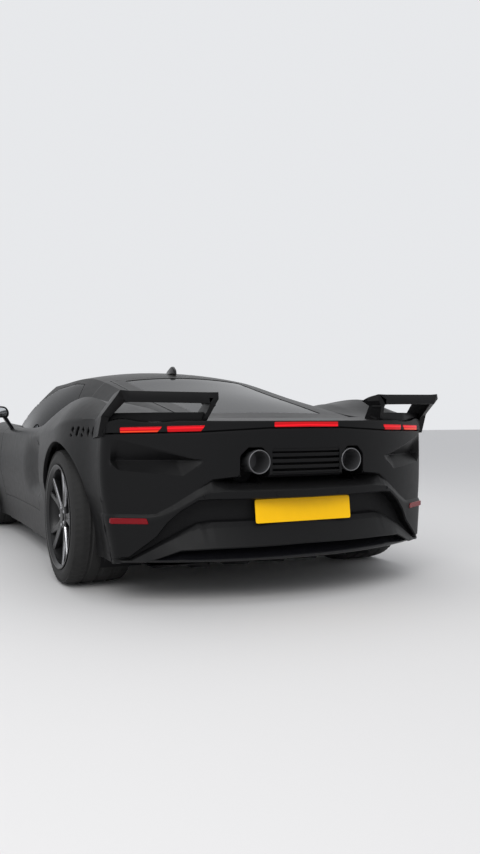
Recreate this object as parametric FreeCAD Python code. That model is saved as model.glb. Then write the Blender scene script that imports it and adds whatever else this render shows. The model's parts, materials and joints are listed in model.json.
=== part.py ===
import FreeCAD, Part
import math
import os

# A mid-engined two-seat supercar, in millimetres.
# +X is the car's left, the nose faces -Y, +Z is up, and the origin is on the ground
# at the middle of the length.
V = FreeCAD.Vector
X_AXIS, Y_AXIS, Z_AXIS = V(1, 0, 0), V(0, 1, 0), V(0, 0, 1)
SIDES = (("left", 1), ("right", -1))

# Overall size
LENGTH = 4718.0
HALF_WIDTH = 995.0
WHEELBASE = 2650.0
FRONT_OVERHANG = 1150.0
NOSE_Y = -LENGTH / 2
TAIL_Y = LENGTH / 2
FRONT_AXLE_Y = NOSE_Y + FRONT_OVERHANG
REAR_AXLE_Y = FRONT_AXLE_Y + WHEELBASE
FLOOR_Z = 120.0
TOP = 1400.0

# Walls, gaps and clearances
PANEL = 24.0
ROOF_WALL = 34.0
GLASS = 5.0
MOVING_GAP = 6.0
GLASS_REAR_GAP = 13.0
GLASS_SEAT = 3.0
PIN_CLEARANCE = 0.3
SEAT_GAP = 0.3
TRIM_T = 14.0

# Plan shape of the nose and of the tail, each one arc
NOSE_PLAN_R = 1250.0
SPLITTER_REACH = 12.0
NOSE_FACE_Y = NOSE_Y + SPLITTER_REACH
BAR_REACH = 19.0
TAIL_FACE_Y = TAIL_Y - BAR_REACH
TAIL_PLAN_R = 1480.0
PLAN_HALF = 1180.0
CORNER_Y = 2022.0

# Lower body: half sections from the underside to the middle of the top.
# Columns: datum axle, offset from it, underside z, underside x, side x and z,
# shoulder crease x and z, fender top x and z, valley x and z, middle z
FRONT, REAR = FRONT_AXLE_Y, REAR_AXLE_Y
BODY_SECTIONS = (
    (FRONT, -1215, 120, 800, 900, 400, 880, 520, 790, 560, 420, 572, 575),
    (FRONT, -880, 120, 860, 945, 410, 925, 590, 810, 655, 450, 640, 645),
    (FRONT, -450, 120, 890, 982, 430, 962, 690, 820, 775, 480, 708, 705),
    (FRONT, 0, 120, 900, 985, 450, 966, 748, 818, 836, 520, 768, 765),
    (FRONT, 330, 120, 880, 960, 460, 940, 758, 812, 826, 560, 795, 796),
    (FRONT, 700, 120, 860, 930, 470, 912, 756, 812, 804, 620, 806, 810),
    (REAR, -1400, 120, 860, 916, 480, 900, 750, 826, 800, 640, 812, 815),
    (REAR, -900, 120, 870, 930, 490, 915, 752, 826, 838, 650, 820, 815),
    (REAR, -540, 120, 880, 962, 500, 950, 772, 830, 915, 650, 872, 840),
    (REAR, -150, 120, 900, 994, 520, 976, 800, 835, 967, 645, 935, 870),
    (REAR, 60, 130, 900, 994, 530, 974, 838, 833, 975, 640, 945, 875),
    (REAR, 300, 170, 880, 944, 520, 934, 858, 812, 942, 630, 905, 868),
    (REAR, 430, 190, 866, 915, 500, 909, 860, 800, 902, 625, 880, 866),
    (REAR, 610, 200, 856, 905, 490, 901, 836, 786, 860, 615, 863, 861),
    (REAR, 800, 200, 852, 903, 485, 898, 823, 782, 843, 605, 851, 853),
    (REAR, 980, 200, 850, 901, 480, 896, 816, 780, 836, 600, 845, 849),
)
TOP_BULGE = 14.0
SIDE_BULGE = 10.0
BODY_TOP_AT_DOOR = 780.0

# Canopy: half sections of cabin and buttresses.
# Columns: datum axle, offset, foot x and z, rail x and z, middle z
CANOPY_SECTIONS = (
    (FRONT, 150, 770, 700, 700, 1010, 1120),
    (FRONT, 600, 800, 700, 672, 1060, 1165),
    (FRONT, 1209, 838, 740, 578, 1108, 1188),
    (REAR, -1141, 800, 740, 530, 1128, 1178),
    (REAR, -800, 716, 760, 508, 1098, 1143),
    (REAR, -480, 660, 800, 503, 1040, 1078),
    (REAR, -100, 640, 820, 500, 969, 1000),
    (REAR, 260, 610, 800, 500, 908, 924),
    (REAR, 640, 570, 780, 500, 832, 840),
)
CANOPY_SIDE_BULGE = 26.0

# Windscreen face: plan arcs at three heights. Columns: z, middle y, arc radius
WINDSCREEN_ARCS = ((700, -1010.0, 1400.0), (1000, -575.0, 900.0), (1250, -205.0, 800.0))
COWL_LOW_Z, COWL_HIGH_Z = 640.0, 840.0
COWL_REAR_X = 770.0

# Door, its window and its mirror, seen from the side and from the front
DOOR_FRONT_Y = -580.0
DOOR_LOW_Z = 300.0
DOOR_OUTLINE = ((DOOR_FRONT_Y, DOOR_LOW_Z), (640, DOOR_LOW_Z), (688, 470), (590, 745), (556, 900),
                (DOOR_FRONT_Y, 900))
DOOR_INNER_X = 716.0
DOOR_BEVEL = 34.0
WINDOW_OUTLINE = ((-528, 770), (-528, 811), (-330, 945), (-40, 1066), (240, 1094), (400, 1086), (520, 960), (560, 770))
MIRROR_HEAD = ((905, 872), (1068, 866), (1092, 892), (1084, 944), (1044, 962), (924, 952), (900, 915))
MIRROR_FOOT = ((850, 770), (884, 770), (946, 880), (912, 880))
MIRROR_Y, MIRROR_DEPTH, MIRROR_FOOT_IN = -530.0, 96.0, 25.0

# Bonnet and engine lid, seen from above
BONNET_FRONT_Y, BONNET_REAR_Y = -2120.0, -905.0
BONNET_FRONT_X, BONNET_REAR_X = 470.0, 640.0
BONNET_LEAN, BONNET_Z = 45.0, (450.0, 950.0)
LID_FRONT_Y, LID_REAR_Y = 690.0, 1975.0
LID_HALF = 466.0
LID_LEAN, LID_Z = 100.0, (500.0, 1240.0)
HINGE_Y, HINGE_Z, HINGE_HALF, HINGE_R, HINGE_PIN_R = 687.0, 1131.0, 40.0, 5.0, 2.5
HINGE_EAR, HINGE_EAR_TOP = 12.0, 2.0
LID_GLASS_FRONT_Y, LID_GLASS_REAR_Y = 745.0, 1850.0
LID_GLASS_FRONT_X, LID_GLASS_REAR_X = 395.0, 372.0

# Nose, seen from the front and from above
NOSE_SPLIT_Y, NOSE_SPLIT_Z = -1985.0, 430.0
HEADLAMP_OUTLINE = ((560, -2170), (880, -2100), (960, -1900), (850, -1800), (620, -2040))
HEADLAMP_LOW_Z = 560.0
SIDE_INTAKE = ((470, 215), (800, 225), (830, 330), (790, 440), (560, 400))
CENTRE_INTAKE = ((-400, 190), (400, 190), (360, 290), (-360, 290))
SPLITTER_DEPTH, SPLITTER_HALF = 90.0, 840.0
SPLITTER_Z, SPLITTER_T = 112.0, 14.0
GRILLE_T = 12.0
SLAT_T, SLAT_PITCH = 8.0, 36.0
GRILLE_POST = ((620, 215), (632, 215), (632, 440), (620, 440))

# Flank openings, seen from the side
SIDE_SLOT = ((640, 735), (668, 735), (812, 406), (776, 400))
LOUVRE = ((0, 0), (46, 8), (54, 30), (8, 22))
LOUVRE_Y, LOUVRE_Z, LOUVRE_PITCH, LOUVRE_COUNT = 1660.0, 782.0, 62.0, 5

# Wheels
RIM_SEAT_R = 254.0
SHOULDER = 15.0
RIM_EDGE = 4.0
RIM_FLANGE_R = 271.0
RIM_INNER_R = 240.0
FRONT_WHEEL = dict(y=FRONT_AXLE_Y, x=839.0, r=346.7, w=265.0, disc=199.0, arch=385.0, well_x=500.0)
REAR_WHEEL = dict(y=REAR_AXLE_Y, x=822.0, r=351.5, w=325.0, disc=195.0, arch=394.0, well_x=640.0)
FRONT_WELL_R, FRONT_WELL_OUTER_X, FRONT_WELL_TOP = 410.0, 930.0, 730.0
REAR_WELL_R, REAR_WELL_OUTER_X, REAR_WELL_TOP = 400.0, 940.0, 757.0
LINER_T = 4.0
KINGPIN_X = 779.0
REAR_BALL_X = 716.0
STUB_R = 30.0
BALL_R = 12.0
BALL_DROP = 112.0
DISC_T = 32.0
SPOKE_COUNT = 5
RIM_DISH, SPOKE_IN, HUB_R = 39.0, 14.0, 62.0
SPOKE_LEG = ((-9, 40), (9, 40), (34, 247), (20, 247))
DISC_IN = 160.0
CALIPER_INNER_R, CALIPER_RISE, CALIPER_SIDE, DISC_CLEARANCE = 120.0, 22.0, 8.0, 2.0
UPRIGHT_HALF_X, UPRIGHT_HALF_Y, SOCKET_EDGE, PIN_DEPTH = 26.0, 40.0, 10.0, 34.0
ARM_R, LEG_HALF, LEG_SPREAD = 26.0, 14.0, (120.0, 160.0)

# Tail fascia, seen from behind: heights and half widths
SIDE_SPLIT_Z = 640.0
FASCIA_TOP_Z = 812.0
LIP_BOTTOM_Z = 822.0
# How far the lip has dropped at each half width. Columns: x, drop
LIP_DROP = ((0, 0), (200, 1), (500, 17), (1100, 30))
BRAKE_LAMP = (-172, 172)
TAIL_LAMPS = ((500, 648), (675, 840))
LAMP_H = 25.0
OCTAGON = ((196, 600), (196, 690), (232, 729), (300, 729), (340, 690), (340, 560), (196, 560))
GRILLE_HALF, GRILLE_LOW_Z, GRILLE_HIGH_Z = 186.0, 596.0, 722.0
GRILLE_BAR_T, GRILLE_BAR_PITCH, GRILLE_BAR_COUNT = 14.0, 28.0, 4
VENT_DEPTH, VENT_WALL = 50.0, 6.0
CORNER_VENT = ((844, 766), (660, 709), (458, 659), (440, 612), (585, 600), (827, 616), (872, 640), (872, 740))
EXHAUST_X, EXHAUST_Z, EXHAUST_R, EXHAUST_WALL = 249.0, 658.0, 52.0, 5.0
EXHAUST_END_Y = 2317.0
BRACKET = ((1780, 540.3), (1830, 540.3), (1830, 610), (1970, 610), (1970, 640), (1780, 640))
BRACKET_HALF = 60.0
SILENCER_IN, SILENCER_Y0, SILENCER_Y1, SILENCER_HALF_H, PIPE_BORE_IN = 90.0, 1960.0, 2080.0, 66.0, 20.0
DIFFUSER = ((1850, 120), (2290, 196), (2290, 204), (1850, 128))
DIFFUSER_HALF = 600.0
STRAKE = ((1940, 122), (2285, 150), (2285, 200), (1940, 140))
STRAKE_XS, STRAKE_T = (-450, -270, -90, 90, 270, 450), 8.0
SHELF_Z = 580.0
BAR_TOP_Z, BAR_BOTTOM_Z = 528.0, 490.0
RECESS_IN, RECESS_BOTTOM_Z = 56.0, 390.0
LOWER_BAR_TOP_IN, LOWER_BAR_EDGE_Z = 48.0, 277.0
TRIM_OUTLINE = ((0, 594), (560, 588), (640, 560), (676, 500), (676, 335), (690, 307), (803, 202), (740, 150),
                (0, 150))
TRIM_HALF = 676.0
LOWER_BAR = ((0, 390), (606, 384), (622, 339), (682, 309), (790, 212), (740, 206), (600, 262), (452, 269), (0, 277))
REFLECTOR = ((742, 386), (882, 386), (882, 414), (742, 414))
PLATE_W, PLATE_H, PLATE_T = 520.0, 111.0, 3.0
PLATE_Z, PLATE_TILT = 428.0, 7.0

# Tail fins. Columns of the wing: x, then (y, z) of nose, top edge, bottom edge and belly
FIN_WING = ((458, (2100, 952), (2292, 978), (2292, 926), (2196, 936)),
            (876, (1992, 952), (2202, 982), (2202, 928), (2096, 938)))
# Columns of the outer plate: z, then (x, y) of its four corners
FIN_PLATE = ((800, (905, 1880), (884, 2055), (862, 2055), (883, 1880)),
             (984, (876, 2066), (872, 2204), (850, 2204), (854, 2066)))
FIN_INNER = ((2040, 820), (2215, 820), (2292, 930), (2292, 970), (2215, 960))
FIN_T = 20.0

# Cabin and chassis
TUB_T = 30.0
UNDERFLOOR_T, TUB_WALL, FRONT_BULKHEAD_T = 8.0, 60.0, 20.0
FRONT_BULKHEAD_TOP, REAR_PORT_HALF, REAR_PORT_Z = 750.0, 330.0, (880.0, 1040.0)
FRONT_RAIL_Y, REAR_RAIL_END_Y = -1939.0, 1850.0
TOWER_HALF, TOWER_RISE = 175.0, 45.0
DASH_IN, CONSOLE_HALF = 20.0, 105.0
COLUMN_R, COLUMN_L, BOSS_R, BOSS_T, BOSS_LOW = 22.0, 150.0, 45.0, 30.0, 18.0
GRIP_SPOKE_HALF, GRIP_SPOKE_T = 16.0, 6.0
FLOOR_PLAN = ((0, -2250), (560, -2150), (780, -1920), (800, -1640), (490, -1640), (490, -780), (760, -780),
              (760, 1020), (630, 1020), (600, 1850), (0, 1850))
SILL_INNER_X = 760.0
TUB_HALF = 700.0
BULKHEAD_Y = 592.0
RAIL_W, RAIL_H = 60.0, 110.0
FRONT_RAIL_X, REAR_RAIL_X = 440.0, 360.0
TRAY_Y0, TRAY_Y1, TRAY_Z0, TRAY_Z1 = -1930.0, -960.0, 200.0, 520.0
SEAT_X, SEAT_W = 370.0, 470.0
SEAT_PROFILE = ((-270, 0), (300, 0), (470, 690), (365, 715), (205, 240), (-270, 210))
DASH_PROFILE = ((0, 560), (190, 540), (262, 640), (212, 735), (80, 765), (0, 765))
CONSOLE_PROFILE = ((0, 0), (900, 0), (900, 420), (300, 520), (0, 560))
WHEEL_CENTRE = (-370.0, -200.0, 690.0)
WHEEL_TILT = 22.0
WHEEL_RIM_R, WHEEL_GRIP = 178.0, 13.0
ENGINE = (330.0, 770.0, 1500.0, 760.0)
GEARBOX = (180.0, 1840.0, 540.0)
ANTENNA = ((391, 1110), (637, 1110), (560, 1210), (530, 1210))
ANTENNA_T = 26.0


def box(x0, x1, y0, y1, z0, z1):
    return Part.makeBox(x1 - x0, y1 - y0, z1 - z0, V(x0, y0, z0))


def face(points):
    return Part.Face(Part.makePolygon(points + [points[0]]))


def side_prism(outline, x0, x1):
    """A side view outline of (y, z) points, carried from x0 to x1."""
    return face([V(x0, y, z) for y, z in outline]).extrude(V(x1 - x0, 0, 0))


def plan_prism(outline, z0, z1):
    """A top view outline of (x, y) points, carried from z0 to z1."""
    return face([V(x, y, z0) for x, y in outline]).extrude(V(0, 0, z1 - z0))


def rear_prism(outline, y0, y1):
    """A rear view outline of (x, z) points, carried from y0 to y1."""
    return face([V(x, y0, z) for x, z in outline]).extrude(V(0, y1 - y0, 0))


def both_halves(outline):
    """A closed outline from its left half, whose first and last points lie on the middle plane."""
    return outline + tuple((-x, b) for x, b in reversed(outline[1:-1]))


def mirrored(shape):
    return shape.mirror(V(0, 0, 0), X_AXIS)


def pair(shape):
    return Part.makeCompound([shape, mirrored(shape)])


def cylinder_x(x0, x1, y, z, r):
    return Part.makeCylinder(r, x1 - x0, V(x0, y, z), X_AXIS)


def turned(profile, y, z):
    """A ring about an axle along X: profile holds (x, radius) points."""
    return face([V(x, y, z + r) for x, r in profile]).revolve(V(0, y, z), X_AXIS, 360)


def ruled(sections):
    return Part.makeLoft([Part.makePolygon(points + [points[0]]) for points in sections], True, True)


def grown(outline, gap):
    """A closed outline of (a, b) points moved outwards by gap."""
    n = len(outline)
    area = sum(outline[i - 1][0] * outline[i][1] - outline[i][0] * outline[i - 1][1] for i in range(n))
    turn = 1 if area > 0 else -1
    lines = []
    for i in range(n):
        (a0, b0), (a1, b1) = outline[i], outline[(i + 1) % n]
        size = math.hypot(a1 - a0, b1 - b0)
        na, nb = turn * (b1 - b0) / size, -turn * (a1 - a0) / size
        lines.append((na, nb, na * a0 + nb * b0 + gap))
    result = []
    for i in range(n):
        (p, q, c), (r, s, d) = lines[i - 1], lines[i]
        det = p * s - q * r
        result.append(((c * s - q * d) / det, (p * d - c * r) / det))
    return result


# Body envelope

def offset_path(points, depth):
    """An open path of (x, z) points moved inwards by depth, mitred at its corners."""
    normals = []
    for (x0, z0), (x1, z1) in zip(points, points[1:]):
        size = math.hypot(x1 - x0, z1 - z0)
        normals.append(((z1 - z0) / size, -(x1 - x0) / size))
    moved = []
    for i, (x, z) in enumerate(points):
        a = normals[max(i - 1, 0)]
        b = normals[min(i, len(normals) - 1)]
        scale = depth / (1 + a[0] * b[0] + a[1] * b[1])
        moved.append((x - (a[0] + b[0]) * scale, z - (a[1] + b[1]) * scale))
    return moved


def arc_or_line(a, b, bulge):
    """From a to b, bulged to the left of the way from a to b."""
    if abs(bulge) < 1e-6:
        return Part.makeLine(a, b)
    way = b.sub(a)
    side = V(-way.z, 0, way.x).normalize()
    middle = (a + b) * 0.5 + side * bulge
    return Part.Arc(a, middle, b).toShape()


def section_wire(y, half, bulges, crown_z):
    """A closed section: half is (x, z) from the underside outwards and up, mirrored over a crown arc."""
    right = [V(x, y, z) for x, z in half]
    left = [V(-x, y, z) for x, z in reversed(half)]
    edges = [Part.makeLine(left[-1], right[0])]
    for a, b, bulge in zip(right, right[1:], bulges):
        edges.append(arc_or_line(a, b, -bulge))
    edges.append(Part.Arc(right[-1], V(0, y, crown_z), left[0]).toShape())
    for a, b, bulge in zip(left, left[1:], reversed(bulges)):
        edges.append(arc_or_line(a, b, -bulge))
    return Part.Wire(edges)


def body_loft(depth):
    wires = []
    for datum, dy, zu, xu, xs, zs, xc, zc, xf, zf, xv, zv, zm in BODY_SECTIONS:
        half = [(xu, zu), (xs, zs), (xc, zc), (xf, zf), (xv, zv)]
        if depth:
            half = offset_path(half, depth)
            half[0] = (half[0][0], zu - 2 * depth)
            wires.append(section_wire(datum + dy, half, (0, 0, 0, 0), zm - depth))
        else:
            wires.append(section_wire(datum + dy, half, (0, SIDE_BULGE, TOP_BULGE, -TOP_BULGE / 2), zm))
    return Part.makeLoft(wires, True, False)


def canopy_loft(depth):
    wires = []
    for datum, dy, xb, zb, xr, zr, zm in CANOPY_SECTIONS:
        half = [(xb, zb), (xr, zr)]
        if depth:
            (x0, z0), (x1, z1) = half
            size = math.hypot(x1 - x0, z1 - z0)
            nx, nz = (z1 - z0) / size * depth, (x0 - x1) / size * depth
            half = [(x0 - nx, z0 - nz - 3 * depth), (x1 - nx - depth * 0.25, z1 - nz - depth * 0.75)]
            zm -= depth
        wires.append(section_wire(datum + dy, half, (CANOPY_SIDE_BULGE,), zm))
    return Part.makeLoft(wires, True, False)


def plan_envelope(depth):
    """Everything between the nose arc and the tail arc, depth inside them."""
    nose_y, tail_y = NOSE_FACE_Y + depth, TAIL_FACE_Y - depth
    nose_r, tail_r = NOSE_PLAN_R - depth, TAIL_PLAN_R - depth
    z0, z1 = -200, TOP
    nose_half = min(PLAN_HALF, nose_r - 20)
    ny = nose_y + nose_r - math.sqrt(nose_r ** 2 - nose_half ** 2)
    ty = tail_y - tail_r + math.sqrt(tail_r ** 2 - PLAN_HALF ** 2)
    a, b = V(-nose_half, ny, z0), V(nose_half, ny, z0)
    c, d = V(PLAN_HALF, ty, z0), V(-PLAN_HALF, ty, z0)
    wire = Part.Wire([Part.Arc(a, V(0, nose_y, z0), b).toShape(), Part.makeLine(b, c),
                      Part.Arc(c, V(0, tail_y, z0), d).toShape(), Part.makeLine(d, a)])
    return Part.Face(wire).extrude(V(0, 0, z1 - z0))


def behind_windscreen(shift):
    """The space behind the windscreen's outer face, which is moved back by shift."""
    wires = []
    half, back = 1100.0, 2300.0
    for z, middle_y, r in WINDSCREEN_ARCS:
        y = middle_y + shift
        edge = min(half, r * 0.98)
        ey = y + r - math.sqrt(r ** 2 - edge ** 2)
        a, b = V(-edge, ey, z), V(edge, ey, z)
        c, d = V(edge, back, z), V(-edge, back, z)
        wires.append(Part.Wire([Part.Arc(a, V(0, y, z), b).toShape(), Part.makeLine(b, c),
                                Part.makeLine(c, d), Part.makeLine(d, a)]))
    return Part.makeLoft(wires, True, True)


def cut_each(shape, tools):
    for tool in tools:
        shape = shape.cut(tool)
    return shape


BIG = HALF_WIDTH + 105
plan_outer, plan_inner = plan_envelope(0), plan_envelope(PANEL)
lower_outer = body_loft(0).common(plan_outer)
lower_inner = body_loft(PANEL).common(plan_inner)
canopy_outer = canopy_loft(0).common(behind_windscreen(0)).common(plan_outer)
canopy_cavity = canopy_loft(ROOF_WALL)
canopy_inner = canopy_cavity.common(behind_windscreen(2 * ROOF_WALL)).common(plan_inner)
outer = lower_outer.fuse(canopy_outer)
inner = lower_inner.fuse(canopy_inner)
shell = outer.cut(inner)
canopy_wall = canopy_outer.cut(canopy_cavity).cut(lower_outer)
parts = {}


# Zones that divide the shell where the real panels meet

def door_zone(gap):
    """The door's outline, grown by gap; its rear edge runs forward towards the inside of the car."""
    outline = grown(DOOR_OUTLINE, gap) if gap else DOOR_OUTLINE
    sections = []
    for x, pull in ((DOOR_INNER_X - gap, DOOR_BEVEL), (BIG, 0)):
        sections.append([V(x, y - (pull if y > 0 else 0), z) for y, z in outline])
    return ruled(sections)


def lid_zone(gap):
    """The engine lid from above; its rear edge leans back so that it swings clear of the tail."""
    outline = ((LID_FRONT_Y - gap, LID_Z[0]), (LID_REAR_Y + gap - LID_LEAN, LID_Z[0]),
               (LID_REAR_Y + gap + LID_LEAN, LID_Z[1]), (LID_FRONT_Y - gap, LID_Z[1]))
    return side_prism(outline, -LID_HALF - gap, LID_HALF + gap)


def bonnet_zone(gap):
    """The bonnet from above; its front edge leans forward so that it swings clear of the nose."""
    plan = plan_prism(grown(((-BONNET_FRONT_X, BONNET_FRONT_Y - 100), (BONNET_FRONT_X, BONNET_FRONT_Y - 100),
                             (BONNET_REAR_X, BONNET_REAR_Y), (-BONNET_REAR_X, BONNET_REAR_Y)), gap), *BONNET_Z)
    low, high = BONNET_Z
    side = side_prism(((BONNET_FRONT_Y - gap + BONNET_LEAN, low), (BONNET_REAR_Y + gap, low),
                       (BONNET_REAR_Y + gap, high), (BONNET_FRONT_Y - gap - BONNET_LEAN, high)), -BIG, BIG)
    return plan.common(side)


def lip_drop(x):
    for (x0, d0), (x1, d1) in zip(LIP_DROP, LIP_DROP[1:]):
        if x <= x1:
            return d0 + (d1 - d0) * (x - x0) / (x1 - x0)
    return LIP_DROP[-1][1]


def lip_strip(x0, x1, low, high, y0, y1):
    """A strip between two heights that follows the tail's lip as it drops towards the corners."""
    stops = sorted({x0, x1} | {s * x for x, _ in LIP_DROP for s in (-1, 1) if x0 < s * x < x1})
    outline = [(x, low - lip_drop(abs(x))) for x in stops]
    outline += [(x, high - lip_drop(abs(x))) for x in reversed(stops)]
    return rear_prism(outline, y0, y1)


def tail_band(reach, depth):
    """The wall between the tail arc moved out by reach and the one moved in by depth."""
    return plan_envelope(-reach).cut(plan_envelope(depth)).common(
        box(-BIG, BIG, REAR_AXLE_Y, TAIL_Y + 200, 0, 1000))


def arch_cut(wheel):
    return pair(cylinder_x(wheel["well_x"], BIG, wheel["y"], wheel["r"], wheel["arch"]))


def well(wheel, radius, low, top, outer_x):
    """The room that a wheel needs inside its arch; its top is flat."""
    tube = cylinder_x(wheel["well_x"], outer_x, wheel["y"], wheel["r"], radius)
    return tube.common(box(0, BIG, wheel["y"] - 500, wheel["y"] + 500, low, top))


arches = {"front": arch_cut(FRONT_WHEEL), "rear": arch_cut(REAR_WHEEL)}
wells = {"front": well(FRONT_WHEEL, FRONT_WELL_R, 0, FRONT_WELL_TOP, FRONT_WELL_OUTER_X),
         "rear": well(REAR_WHEEL, REAR_WELL_R, 0, REAR_WELL_TOP, REAR_WELL_OUTER_X)}
lip_zone = lip_strip(-BIG, BIG, LIP_BOTTOM_Z, LIP_BOTTOM_Z + 200, LID_REAR_Y + MOVING_GAP, TAIL_Y + 50)
fascia_zone = lip_strip(-BIG, BIG, 100, FASCIA_TOP_Z, CORNER_Y, TAIL_Y + 50).fuse(
    box(-BIG, BIG, REAR_AXLE_Y, TAIL_Y + 50, 0, SIDE_SPLIT_Z))
nose_zone = box(-BIG, BIG, NOSE_Y - 50, NOSE_SPLIT_Y, 0, 900).fuse(
    box(-BIG, BIG, NOSE_Y - 50, FRONT_AXLE_Y, 0, NOSE_SPLIT_Z))
headlamp_zone = pair(plan_prism(HEADLAMP_OUTLINE, HEADLAMP_LOW_Z, 900))
cowl_front_y, cowl_rear_y = BONNET_REAR_Y + MOVING_GAP, DOOR_FRONT_Y - MOVING_GAP
cowl_zone = plan_prism(((-BONNET_REAR_X, cowl_front_y), (BONNET_REAR_X, cowl_front_y),
                        (COWL_REAR_X, cowl_rear_y), (-COWL_REAR_X, cowl_rear_y)), COWL_LOW_Z, COWL_HIGH_Z)

# Doors: thick bodies with frameless glass and a mirror each
doors = {"left": door_zone(0)}
doors["right"] = mirrored(doors["left"])
door_gaps = pair(door_zone(MOVING_GAP))
window_zone = pair(side_prism(WINDOW_OUTLINE, 300, HALF_WIDTH))
window_gap = pair(side_prism([(y + (GLASS_REAR_GAP - MOVING_GAP if y > 450 else 0), z)
                              for y, z in grown(WINDOW_OUTLINE, MOVING_GAP)], 300, HALF_WIDTH))
above_doors = lower_outer.translated(V(0, 0, MOVING_GAP)).common(door_gaps)
side_glass = canopy_outer.cut(canopy_loft(GLASS)).common(window_zone).cut(lower_outer)
mirror = rear_prism(MIRROR_HEAD, MIRROR_Y, MIRROR_Y + MIRROR_DEPTH).fuse(
    rear_prism(MIRROR_FOOT, MIRROR_Y + MIRROR_FOOT_IN, MIRROR_Y + MIRROR_DEPTH - MIRROR_FOOT_IN)).cut(lower_outer).removeSplitter()
halves = {"left": box(0, BIG, NOSE_Y, TAIL_Y, 0, TOP), "right": box(-BIG, 0, NOSE_Y, TAIL_Y, 0, TOP)}
for side, sign in SIDES:
    parts["door_" + side] = lower_outer.common(doors[side])
    parts["door_glass_" + side] = side_glass.common(halves[side])
    parts["mirror_" + side] = mirror if sign > 0 else mirrored(mirror)

# Roof, windscreen, bonnet, cowl, fenders and sills
parts["roof_frame"] = canopy_wall.common(
    box(-BIG, BIG, NOSE_Y, LID_FRONT_Y - MOVING_GAP, 0, TOP)).cut(window_gap).cut(above_doors)
parts["windscreen"] = canopy_cavity.common(
    behind_windscreen(GLASS_SEAT).cut(behind_windscreen(GLASS_SEAT + 2 * GLASS))).cut(lower_outer)
parts["bonnet"] = shell.common(bonnet_zone(0))
parts["cowl"] = shell.common(cowl_zone).common(lower_outer)
parts["front_fenders"] = cut_each(
    shell.common(box(-BIG, BIG, NOSE_SPLIT_Y, DOOR_FRONT_Y - MOVING_GAP, 0, 1000)).common(lower_outer),
    (bonnet_zone(MOVING_GAP), cowl_zone, nose_zone, headlamp_zone, arches["front"], pair(wells["front"])))
parts["headlamps"] = shell.common(headlamp_zone)
sill_zone = pair(box(SILL_INNER_X, BIG, DOOR_FRONT_Y - MOVING_GAP, REAR_AXLE_Y, 0, DOOR_LOW_Z - MOVING_GAP))
sill_well = well(REAR_WHEEL, REAR_WELL_R + LINER_T, 0, REAR_WELL_TOP, REAR_WELL_OUTER_X)
parts["side_sills"] = lower_outer.common(sill_zone).cut(arches["rear"]).cut(pair(sill_well))

# Nose: bumper with its intakes, splitter and grilles
intakes = pair(rear_prism(SIDE_INTAKE, NOSE_Y - 50, NOSE_Y + 500)).fuse(
    rear_prism(CENTRE_INTAKE, NOSE_Y - 50, NOSE_Y + 500))
intake_rims = pair(rear_prism(grown(SIDE_INTAKE, GRILLE_T), NOSE_Y - 50, NOSE_Y + 500)).fuse(
    rear_prism(grown(CENTRE_INTAKE, GRILLE_T), NOSE_Y - 50, NOSE_Y + 500))
splitter = plan_envelope(-SPLITTER_REACH).cut(plan_envelope(SPLITTER_DEPTH)).common(
    box(-SPLITTER_HALF, SPLITTER_HALF, NOSE_Y - 60, FRONT_AXLE_Y - 450, SPLITTER_Z, SPLITTER_Z + SPLITTER_T))
parts["front_bumper"] = cut_each(
    shell.common(nose_zone),
    (bonnet_zone(MOVING_GAP), headlamp_zone, arches["front"], pair(wells["front"]), intakes)).fuse(splitter)
slats = []
slat_z = CENTRE_INTAKE[0][1] + SLAT_PITCH / 2
while slat_z < SIDE_INTAKE[3][1]:
    slats.append(box(-BIG, BIG, NOSE_Y - 50, FRONT_AXLE_Y, slat_z, slat_z + SLAT_T))
    slat_z += SLAT_PITCH
grille_band = plan_envelope(PANEL).cut(plan_envelope(PANEL + GRILLE_T)).common(
    box(-BIG, BIG, NOSE_Y, FRONT_AXLE_Y, 0, 700))
parts["front_grille"] = grille_band.common(
    intake_rims.cut(intakes).fuse(intakes.common(Part.makeCompound(slats))).fuse(
        pair(rear_prism(GRILLE_POST, NOSE_Y, NOSE_Y + 500))))

# Rear quarters with the side intakes and louvres
slot = pair(side_prism(SIDE_SLOT, 800, BIG))
louvres = [pair(side_prism([(LOUVRE_Y + i * LOUVRE_PITCH + dy, LOUVRE_Z + dz) for dy, dz in LOUVRE], 800, BIG))
           for i in range(LOUVRE_COUNT)]
quarter_zone = box(-BIG, BIG, LID_FRONT_Y - 250, LID_REAR_Y + MOVING_GAP, DOOR_LOW_Z - MOVING_GAP, TOP).fuse(
    box(-BIG, BIG, LID_REAR_Y, CORNER_Y, SIDE_SPLIT_Z, LIP_BOTTOM_Z + 50))
above_roof_seam = box(-BIG, BIG, 0, LID_FRONT_Y - MOVING_GAP, BODY_TOP_AT_DOOR, TOP).cut(lower_outer)
parts["rear_quarters"] = cut_each(
    shell.common(quarter_zone),
    [door_gaps, lid_zone(MOVING_GAP), above_roof_seam, lip_zone, fascia_zone, arches["rear"], slot] + louvres)

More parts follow.
